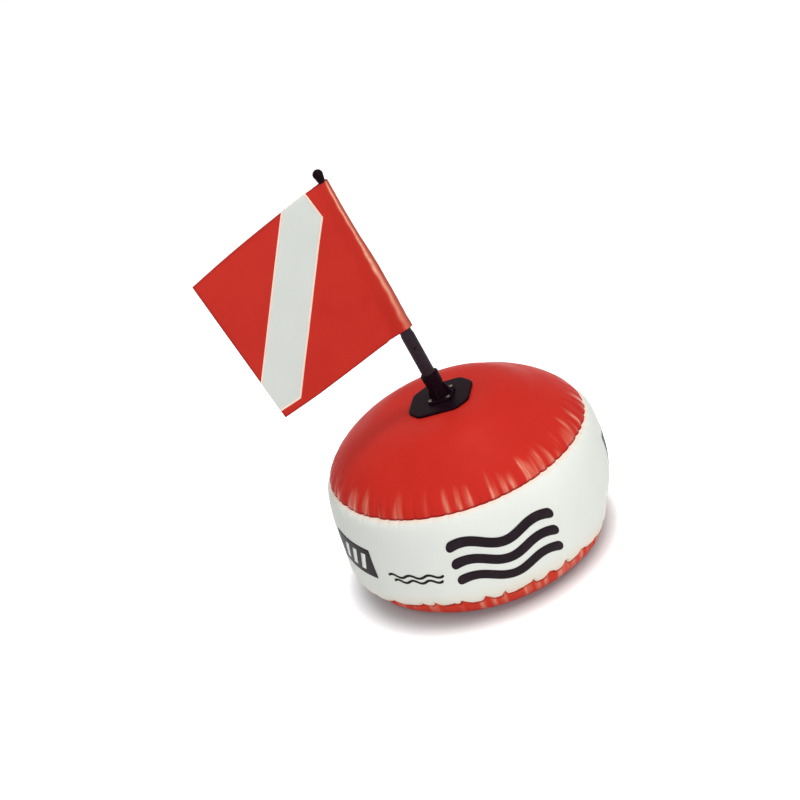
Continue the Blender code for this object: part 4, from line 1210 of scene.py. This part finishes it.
@dataclass(frozen=True)
class BasePlate:
    """The black plate on the crown: eight sides with rounded corners, open under the socket's flange."""

    shell: Shell
    length: float = 0.0790
    width: float = 0.0720
    chamfers: tuple[float, ...] = (0.0180, 0.0160, 0.0160, 0.0140)
    roundness: float = 0.0135       # radius of the corners
    centre: Point = (-0.0024, 0.0018)       # of the outline, beside the socket's
    window: float = 0.0290          # square opening under the flange
    window_corner: float = 0.0050
    edge: float = 0.0013
    dish: float = 0.0003            # how far the top falls towards its rim
    yaw: float = math.radians(-20.0)
    columns: int = 288
    farthest: float = 0.1           # no side lies farther out

    def reach(self, turn: np.ndarray, flats: Sequence[Point], roundness: float) -> np.ndarray:
        """Return how far an outline of rounded corners lies from its centre.

        Args:
            turn: Angles round the centre.
            flats: Direction and distance of each side.
            roundness: Radius of the corners.
        """
        low, high = np.zeros_like(turn), np.full_like(turn, self.farthest)
        angle = math.tau / len(flats)
        cosine, sine = math.cos(angle), math.sin(angle)
        for _ in range(40):
            reach = (low + high) / 2
            x, y = reach * np.cos(turn), reach * np.sin(turn)
            over = [x * math.cos(a) + y * math.sin(a) - (d - roundness) for a, d in flats]
            outside = np.maximum(np.max(over, axis=0), 0.0)
            for first, second in zip(over, over[1:] + over[:1]):
                along, back = (second - first * cosine) / sine, (first - second * cosine) / sine
                outside = np.maximum(outside, np.where((along > 0) & (back > 0), np.hypot(first, along), 0.0))
            low, high = np.where(outside < roundness, reach, low), np.where(outside < roundness, high, reach)
        return reach

    def build(self) -> None:
        """Make the plate in place of the frame's."""
        turn, sides = full_turn(self.columns), []
        for k, chamfer in enumerate(self.chamfers):
            slant = ((self.length + self.width) / 2 - chamfer) / math.sqrt(2)
            sides += [(k * QUARTER_TURN, (self.width if k % 2 else self.length) / 2),
                      ((k + 0.5) * QUARTER_TURN, slant)]
        outer = self.reach(turn, sides, self.roundness)
        inner = self.reach(turn, [(k * QUARTER_TURN, self.window / 2) for k in range(4)], self.window_corner)
        deep, edge, rim = self.shell.plate_thickness, self.edge, outer - self.edge
        sweep = [(1 - math.sin(a), 1 - math.cos(a)) for a in np.linspace(0.0, QUARTER_TURN, 6)]
        rows = [(inner, 0.0, -deep), *((between(inner, rim, s), s, -deep) for s in (0.4, 0.8))]
        rows += [(outer - edge * 0.5 * out, 1.0, -deep + edge * 0.5 * up) for out, up in sweep]
        rows += [(outer - edge * up, 1.0, -edge * out - self.dish) for out, up in sweep]
        rows += [(between(rim, inner, s), 1.0 - s, -self.dish * (1 - s) ** 2)
                 for s in (0.06, 0.3, 0.6, 0.85, 1.0)]
        flat = np.array([np.stack([reach * np.cos(turn) + self.centre[0] * share,
                                   reach * np.sin(turn) + self.centre[1] * share, np.full_like(turn, z)], axis=-1)
                         for reach, share, z in rows])
        seat = (Matrix.Translation((self.shell.mast_x, self.shell.mast_y, self.shell.plate_top_height))
                @ Matrix.Rotation(-self.shell.plate_tilt, 4, 'Y') @ Matrix.Rotation(self.yaw, 4, 'Z'))
        points = flat @ np.array(seat.to_3x3()).T + np.array(seat.translation)
        mesh = grid_mesh("plate", points, closed=True)
        mesh.materials.append(BLACK_MOULDING.material())
        settle(link("plate", mesh), Body.FLOAT, "black_moulding", "base_plate")


# Mast tube


@dataclass(frozen=True)
class MastTube:
    """The mast's lower tube: it stands on its shoulder on the socket, and tapers into the flag's sleeve."""

    shell: Shell
    radius: float = 0.0083
    plug_radius: float = 0.0075     # in the socket, and where the sleeve starts
    foot_radius: float = 0.0070     # of the plug's chamfer
    bore: float = 0.0057            # radius at the foot
    rod_bore: float = 0.0043        # radius round the rod
    foot: float = 0.0063            # heights from here on
    shoulder: float = 0.0358
    neck: float = 0.0925            # the tube narrows from here
    sleeve: float = 0.0970          # to here
    tip: float = 0.1465
    tip_radius: float = 0.0054
    columns: int = 96

    def profile(self) -> list[Point]:
        """Return radius and height round the tube's wall: up its outside and down its bore."""
        plug, wide, shoulder, bore, hole = self.plug_radius, self.radius, self.shoulder, self.bore, self.rod_bore
        body = [(wide, height) for height in (shoulder + 0.0009, 0.050, 0.064, 0.078, self.neck)]
        return [(bore, self.foot), (self.foot_radius, self.foot), (plug, self.foot + 0.0005),
                (plug, shoulder - 0.003), (plug, shoulder), (wide - 0.0004, shoulder + 0.0001),
                (wide - 0.0001, shoulder + 0.0004), *body, (wide - 0.0002, 0.0938), (plug + 0.0001, 0.0960),
                (plug, self.sleeve), (plug, 0.1005), (0.0064, 0.1236), (self.tip_radius, self.tip - 0.0005),
                (self.tip_radius - 0.0005, self.tip), (hole, self.tip), (hole, 0.1000), (hole, 0.0560),
                (bore, 0.0550), (bore, 0.0300)]

    def build(self) -> None:
        """Make the tube in place of the frame's."""
        turn = full_turn(self.columns)
        upright = np.array(joint("mast_pull")["axis"], float)
        out = np.array([upright[2], 0.0, -upright[0]])
        circle = np.outer(np.cos(turn), out) + np.outer(np.sin(turn), np.cross(upright, out))
        start = np.array([self.shell.mast_x, self.shell.mast_y, self.shell.plate_top_height])
        points = np.array([start + upright * height + radius * circle for radius, height in self.profile()])
        mesh = grid_mesh("tube", points, closed=True)
        mesh.materials.append(BLACK_TUBE.material())
        settle(link("tube", mesh), Body.MAST, "black_tube", "mast_tube")


# Flag


@dataclass(frozen=True)
class Flag:
    """The flag: its cloth with the sleeve, the white stripe and the stitches."""

    foot: Vector = field(default_factory=lambda: Vector(joint("flag_swing")["pos_m"]))
    axis: Vector = field(default_factory=lambda: Vector(joint("flag_swing")["axis"]).normalized())
    swing: float = math.radians(15.0)
    bottom: float = 0.097
    hoist: float = 0.211
    bottom_reach: float = 0.1743
    top_reach: float = 0.1862
    bottom_sag: float = 0.0042
    top_sag: float = 0.0205
    sag_power: float = 1.5
    billow: float = 0.0035
    hem: float = 0.006
    cloth: float = 0.0007
    gap: float = 0.0003
    tube_radius: float = 0.0075
    tube_taper_start: float = 0.1005
    tube_top: float = 0.1465
    tube_top_radius: float = 0.0054
    rod_radius: float = 0.0040
    rod_taper_start: float = 0.1485
    rod_tip_radius: float = 0.0020
    rod_top: float = 0.318
    sleeve_ease: float = 0.024      # over which the sleeve narrows from the tube to the rod
    flat_sleeve: float = 0.0073     # radius of the sleeve's circle, for the cloth's flat length
    rows: int = 132
    columns: int = 112              # of the sheet beyond the sleeve
    rim: float = 0.0024             # width of the cloth's dark rim
    stripe_lift: float = 0.00022
    stripe_thickness: float = 0.00018
    stripe_rows: int = 30
    piping: float = 0.0024          # width of the stripe's pale edges
    fold: float = 0.668             # share of the sleeve's loop where the painted highlight along its fold lies
    fold_shade_and_sheen: Point = (0.47, 0.52)        # where the painted shade beside it and the paler painted sheen over the sleeve start, and where they are full
    hoist_lift: float = 0.0030      # how far the hoist's foot is drawn up
    stitch_inset: float = 0.013     # share of the flag between its edge and the stitches
    stitch_length: float = 0.0021
    stitch_pitch: float = 0.0031
    stitch_radius: float = 0.00021
    stitch_steps: int = 120

    def sleeve_radius(self, height: np.ndarray) -> np.ndarray:
        """Return the middle radius of the sleeve's cloth at heights along the mast."""
        taper = part_of(height, self.tube_taper_start, self.tube_top)
        tube = between(self.tube_radius, self.tube_top_radius, taper) + 2 * self.gap
        slim = part_of(height, self.rod_taper_start, self.rod_top)
        rod = between(self.rod_radius, self.rod_tip_radius, slim) + self.gap
        ease = part_of(height, self.tube_top, self.tube_top + self.sleeve_ease)
        return between(tube, rod, ease) + self.cloth / 2

    def place(self, out: np.ndarray, across: np.ndarray, height: np.ndarray) -> np.ndarray:
        """Return points of the frame from distances out from, across and along the mast."""
        side = Vector((0.0, 1.0, 0.0))
        level = side.cross(self.axis)
        turn = math.pi + self.swing
        ahead = level * math.cos(turn) + side * math.sin(turn)
        left = side * math.cos(turn) - level * math.sin(turn)
        return np.array(self.foot) + sum(distance[..., None] * np.array(way) for distance, way in
                                         ((out, ahead), (across, left), (height, self.axis)))

    def drawn_up(self, column: np.ndarray, row: np.ndarray) -> np.ndarray:
        """Return how far the foot of the hoist is drawn up along the mast."""
        return self.hoist_lift * (1.0 - part_of(column, 0.0, 0.7)) * (1.0 - part_of(row, 0.0, 0.25)) ** 2

    def sheet_at(self, column: np.ndarray, row: np.ndarray, offset: float) -> np.ndarray:
        """Return points of the flag's free sheet.

        Args:
            column: Share from the sleeve's seam, 0, to the fly, 1.
            row: Share from the bottom, 0, to the top, 1.
            offset: Distance from the middle of the cloth.
        """
        level = self.bottom + self.hoist * row
        inner = self.sleeve_radius(level) + self.cloth / 2 + self.hem
        out = between(inner, between(self.bottom_reach, self.top_reach, row), column)
        sag = between(self.bottom_sag, self.top_sag, row)
        height = level - sag * np.maximum(column, 0.0) ** self.sag_power + self.drawn_up(column, row)
        height = height + 0.0010 * bell(column, 0.045, 0.02) * np.exp(-row / 0.03)
        wave = self.billow * column * np.sin(1.3 * math.pi * column + 0.9 * row)
        ripple = 0.0006 * np.sin(41.0 * row + 3.0 * column) * np.exp(-column / 0.10)
        ripple = ripple + 0.0010 * bell(column, 0.06, 0.035) * np.exp(-row / 0.045)
        buckle = 0.0007 * np.sin(9.0 * column + 6.0 * row) * np.sin(7.0 * row + 1.0)
        across = wave + ripple * np.minimum(column / 0.02, 1.0) + buckle * column
        return self.place(out, across + offset, height)

    def loop_at(self, row: np.ndarray, share: np.ndarray) -> np.ndarray:
        """Return points of the sleeve's loop, from its raw edge, 0, round the mast to the seam, 1."""
        level = self.bottom + self.hoist * row
        radius = self.sleeve_radius(level)
        inner = radius + self.cloth / 2 + self.hem
        lean = np.arccos(radius / inner)
        back = self.cloth * 1.15
        tail, straight = 0.10, 0.24
        turn = math.tau - lean - (math.tau - 2 * lean) * part_of(share, straight, 1 - straight)
        wrinkle = 1.0 + 0.025 * np.sin(23.0 * row + 2.0 * turn) * np.sin(57.0 * row) * np.sin(turn / 2) ** 2
        far = np.clip((np.cos(lean) - np.cos(turn)) / (np.cos(lean) + 1.0), 0.0, 1.0)
        x = radius * wrinkle * np.cos(turn) - self.slack(row) * far ** 1.3
        y = radius * wrinkle * np.sin(turn)
        first, last = part_of(share, tail, straight), part_of(share, 1 - straight, 1.0)
        touch_x, touch_y = radius * np.cos(lean), radius * np.sin(lean)
        x = np.where(share < straight, between(inner, touch_x, first), x)
        y = np.where(share < straight, between(-back, -touch_y, first), y)
        x = np.where(share < tail, inner + self.hem * 0.6 * (1.0 - share / tail), x)
        x = np.where(share > 1 - straight, between(touch_x, inner, last), x)
        y = np.where(share > 1 - straight, touch_y * (1.0 - last), y)
        front = np.clip(y / radius, 0.0, 1.0) * np.exp(-row / 0.04)
        return self.place(x, y, level + self.drawn_up(np.zeros_like(share), row) + self.hoist_lift * front)

    @staticmethod
    def slack(row: np.ndarray) -> np.ndarray:
        """Return how far the sleeve stands off the mast on the side away from the flag."""
        return 0.0024 + 0.0016 * row + 0.0034 * bell(row, 0.40, 0.22)

    def fold_highlight(self, row: np.ndarray, place: np.ndarray) -> np.ndarray:
        """Return the painted highlight along the sleeve's outer fold, with a paler painted sheen over the sleeve
        beside it.
        """
        wander = 0.006 * np.sin(17.0 * row) + 0.004 * np.sin(61.0 * row + 1.0)
        broken = 0.80 + 0.20 * np.sin(83.0 * row + 9.0 * np.sin(11.0 * row))
        slim = 0.016 + 0.012 * bell(row, 0.38, 0.20)
        line = bell(place, self.fold + wander, slim) * broken * np.clip(row / 0.30, 0.12, 1.0)
        end = np.clip((0.722 + 2.0 * wander - place) / 0.045, 0.0, 1.0)
        thread = 0.07 * np.sin(150.0 * place + 5.0 * np.sin(9.0 * row)) * np.exp(-row / 0.30)
        return np.clip(0.75 * line + (0.22 + thread) * part_of(place, *self.fold_shade_and_sheen) * end, 0.0, 1.0)

    def make_cloth(self) -> bpy.types.Object:
        """Make the red cloth, sleeve and all, as one sheet."""
        row = np.linspace(0.0, 1.0, self.rows)[:, None]
        shares = np.concatenate([[0.0, 0.05, 0.10, 0.15, 0.20], np.linspace(0.24, 0.76, 53), [0.82, 0.88, 0.94]])
        columns = np.linspace(0.0, 1.0, self.columns)
        loop = self.loop_at(row, np.tile(shares, (self.rows, 1)))
        sheet = self.sheet_at(np.tile(columns, (self.rows, 1)), np.repeat(row, self.columns, axis=1), 0.0)
        points = np.concatenate([loop, sheet], axis=1)
        mesh = grid_mesh("flag_cloth", points)
        gaps = np.linalg.norm(np.diff(points, axis=1), axis=2)
        across = np.concatenate([np.zeros((self.rows, 1)), np.cumsum(gaps, axis=1)], axis=1)
        along = np.repeat(row * self.hoist, points.shape[1], axis=1)
        add_weave(mesh, across, along)
        place = np.broadcast_to(np.concatenate([shares, columns + 1.0]), along.shape)
        # painted highlight along the sleeve's fold
        store(mesh, "glint", self.fold_highlight(row, place))
        rim = np.minimum(np.minimum(along, self.hoist - along), across[:, -1:] - across)
        # painted shade beside the sleeve's fold, stored with the cloth's dark rim
        shade = 0.75 * np.clip((0.632 - place) / 0.03, 0.0, 1.0) * part_of(place, *self.fold_shade_and_sheen)
        store(mesh, "line_and_painted_light", np.clip(np.maximum(1.0 - rim / self.rim, shade), 0.0, 1.0))
        mesh.materials.append(RED_CLOTH.material())
        piece = link("flag_cloth", mesh)
        thicken(piece, self.cloth * 0.8, 0.0)
        return settle(piece, Body.FLAG, "flag_cloth", "flag")

    @staticmethod
    def stripe_edges() -> list[np.ndarray]:
        """Return the two long edges of the stripe as columns and rows of the sheet."""
        corners = (((0.080, 1.0), (0.053, 0.835), (0.828, 0.047), (1.0, 0.050)),
                   ((0.277, 1.0), (0.277, 1.0), (1.0, 0.275), (1.0, 0.275)))
        shares = [np.linspace(0.0, 1.0, count)[:-1, None] for count in (16, 90, 18)]
        return [np.concatenate([*(np.array(first) * (1 - share) + np.array(second) * share
                                  for share, first, second in zip(shares, line, line[1:])), [line[-1]]])
                for line in corners]

    def patch(self, name: str, low: np.ndarray, high: np.ndarray, rows: int, side: Side, lift: float,
              finish: Finish) -> bpy.types.Object:
        """Lay a thin patch of cloth on one face of the flag.

        Args:
            name: Name of the piece.
            low: Columns and rows of one edge.
            high: Columns and rows of the other edge, as many.
            rows: How many faces lie between them.
            side: The face of the flag.
            lift: How far the patch's middle is from the cloth.
            finish: Its finish.

        Returns:
            The patch.
        """
        share = np.linspace(0.0, 1.0, rows + 1)[:, None, None]
        flat = low[None] * (1 - share) + high[None] * share
        points = self.sheet_at(flat[..., 0], flat[..., 1], side.value * (self.cloth * 0.4 + lift))
        mesh = grid_mesh(name, points)
        if side is Side.BACK:
            mesh.flip_normals()
        add_weave(mesh, flat[..., 0] * self.top_reach, flat[..., 1] * self.hoist)
        mesh.materials.append(finish.material())
        piece = link(name, mesh)
        thicken(piece, self.stripe_thickness, 0.0)
        return settle(piece, Body.FLAG, "flag_cloth")

    def make_stripe(self) -> list[bpy.types.Object]:
        """Make the white stripe and its pale edges on both faces."""
        inner, outer = self.stripe_edges()
        toward = outer - inner
        width = self.piping / (np.linalg.norm(toward * (self.top_reach, self.hoist), axis=1) + 1e-9)
        piping = toward * np.minimum(width, 0.5)[:, None]
        strips = (("stripe", inner, outer, self.stripe_rows, self.stripe_lift, STRIPE_CLOTH),
                  ("stripe_inner_edge", inner, inner + piping, 1, self.stripe_lift * 1.5, STRIPE_EDGE),
                  ("stripe_outer_edge", outer - piping, outer, 1, self.stripe_lift * 1.5, STRIPE_EDGE))
        return [self.patch(f"{label}_{side.name.lower()}", low, high, rows, side, lift, finish)
                for side in Side for label, low, high, rows, lift, finish in strips]

    @staticmethod
    def stitch_tree() -> bpy.types.NodeTree:
        """Return the geometry tree that sews stitches along a line of points."""
        nodes = GeometryTree("stitches", ("Pitch", "Length", "Thread radius"))
        line = nodes.add("GeometryNodeMeshToCurve", None, {0: nodes.given["Geometry"]})
        spots = nodes.add("GeometryNodeCurveToPoints", {"mode": 'LENGTH'},
                          {"Curve": line.outputs[0], "Length": nodes.size["Pitch"]})
        turn = nodes.add("FunctionNodeAlignRotationToVector", {"axis": 'X'},
                         {"Vector": spots.outputs["Tangent"]})
        bead = nodes.add("GeometryNodeMeshUVSphere", None, {"Segments": 8, "Rings": 5, "Radius": 1.0})
        radius = nodes.size["Thread radius"]
        sewn = nodes.add("GeometryNodeInstanceOnPoints", None,
                         {"Points": spots.outputs["Points"], "Instance": bead.outputs["Mesh"],
                          "Rotation": turn.outputs[0],
                          "Scale": nodes.vector(nodes.size["Length"] * 0.5, radius, radius)})
        return nodes.close(sewn.outputs[0])

    def make_stitches(self) -> list[bpy.types.Object]:
        """Sew the sleeve's seam and the flag's edges, on both faces."""
        values = {"Pitch": self.stitch_pitch, "Length": self.stitch_length,
                  "Thread radius": self.stitch_radius, "Finish": RED_CLOTH.material()}
        tree, count = self.stitch_tree(), self.stitch_steps
        low, high, seam, fly = self.stitch_inset, 1.0 - self.stitch_inset, 0.004, 0.982
        up, out = np.linspace(low, high, count), np.linspace(0.03, fly, count)
        lines = {"sleeve": (np.full(count, seam), up), "fly": (np.full(count, fly), up),
                 "foot": (out, np.full(count, low)), "head": (out, np.full(count, high))}
        made = []
        for side in Side:
            for label, (column, row) in lines.items():
                points = self.sheet_at(column, row, side.value * self.cloth * 0.46)
                mesh = bpy.data.meshes.new(label)
                mesh.from_pydata(points.tolist(), [(k, k + 1) for k in range(count - 1)], [])
                piece = grown(f"stitches_{label}_{side.name.lower()}", mesh, tree, values)
                nowhere = np.zeros(len(piece.data.vertices))
                add_weave(piece.data, nowhere, nowhere)
                made.append(settle(piece, Body.FLAG, "flag_cloth"))
        return made

    def build(self) -> None:
        """Make the flag's cloth, its stripe and its stitches."""
        cloth = self.make_cloth()
        trim = self.make_stripe() + self.make_stitches()


# Frame nodes


class Fittings:
    """The frame nodes that keep their shape: socket, screws, rod, valve, ring and ballast."""

    def build(self) -> None:
        """Give each node its finish."""
        for finish, names in NODE_FINISHES:
            for name in names:
                data = frame["nodes"][name].data
                data.materials.clear()
                data.materials.append(finish.material())
                log.info("%s: finish %s", name, finish.name)


# Studio


@dataclass(frozen=True)
class Softbox:
    """One area lamp, aimed at the float."""

    name: str
    place: Place
    width: float
    depth: float
    power: float
    colour: Colour = (1.0, 1.0, 1.0)
    aim: Place = (0.0, 0.0, 0.15)

    def build(self) -> None:
        """Hang the lamp."""
        lamp = bpy.data.lights.new(self.name, 'AREA')
        lamp.shape = 'RECTANGLE'
        lamp.size = self.width
        lamp.size_y = self.depth
        lamp.energy = self.power
        lamp.color = self.colour
        item = link(self.name, lamp)
        item.location = self.place
        item.rotation_euler = (Vector(self.aim) - Vector(self.place)).to_track_quat('-Z', 'Y').to_euler()


@dataclass(frozen=True)
class Studio:
    """Floor, lamps, world and the camera at the photograph's angle."""

    target: Place = (-0.0458, 0.0, 0.2383)
    distance: float = 1.8651
    elevation: float = math.radians(26.34)
    roll: float = math.radians(20.5)
    image_size: float = 800.0       # pixels
    focal: float = 1546.5           # pixels
    sensor: float = 36.0            # millimetres
    floor_radius: float = 40.0
    world_strength: float = 0.45
    lamps: tuple[Softbox, ...] = (
        Softbox("above", (0.34, -0.05, 2.4), 0.5, 0.5, 18.5, (1.0, 0.99, 0.97)),
        Softbox("strip", (-0.1, -1.35, 2.2), 2.4, 0.08, 5.0, (0.98, 0.99, 1.0)),
        Softbox("key", (1.9, -0.9, 1.9), 0.7, 0.7, 6.0, (1.0, 0.985, 0.96)),
        Softbox("front", (0.25, -2.4, 0.9), 1.6, 1.4, 21.0),
        Softbox("back", (-0.9, 1.7, 1.9), 0.9, 0.9, 3.0),
    )

    def make_camera(self) -> None:
        """Place the camera and make it the scene's."""
        ahead = Vector((0.0, math.cos(self.elevation), -math.sin(self.elevation)))
        right = Vector((1.0, 0.0, 0.0))
        up = right.cross(ahead)
        turned_right = right * math.cos(self.roll) - up * math.sin(self.roll)
        turned_up = right * math.sin(self.roll) + up * math.cos(self.roll)
        basis = Matrix((turned_right, turned_up, -ahead)).transposed().to_4x4()
        data = bpy.data.cameras.new("camera")
        data.sensor_width = self.sensor
        data.lens = self.focal * self.sensor / self.image_size
        item = link("camera", data)
        item.matrix_world = Matrix.Translation(Vector(self.target) - ahead * self.distance) @ basis
        bpy.context.scene.camera = item

    def make_floor(self) -> None:
        """Lay the floor."""
        shape = bmesh.new()
        bmesh.ops.create_circle(shape, cap_ends=True, segments=64, radius=self.floor_radius)
        mesh = bpy.data.meshes.new("floor")
        shape.to_mesh(mesh)
        shape.free()
        mesh.materials.append(STUDIO_FLOOR.material())
        link("floor", mesh)

    def make_world(self) -> None:
        """Light the scene evenly, with a white background for camera and gloss."""
        world = bpy.data.worlds.new("studio")
        world.use_nodes = True
        nodes = Nodes(world.node_tree)
        strength = nodes.seen_plainly() * (1.0 - self.world_strength) + self.world_strength
        nodes.fill(world.node_tree.nodes["Background"], {"Color": (1.0, 1.0, 1.0, 1.0), "Strength": strength})
        bpy.context.scene.world = world

    def build(self) -> None:
        """Set the studio up."""
        bpy.context.scene.view_settings.view_transform = 'Standard'
        self.make_camera()
        self.make_floor()
        self.make_world()
        for lamp in self.lamps:
            lamp.build()


def main() -> None:
    """Build the scene round the frame."""
    logging.basicConfig(level=logging.INFO, format="%(name)s: %(message)s")
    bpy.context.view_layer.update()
    Studio().build()
    shell = Shell()
    for part in (shell, BandPrint(shell), BasePlate(shell), MastTube(shell), Flag(), Fittings()):
        part.build()


if __name__ == "__main__":
    main()
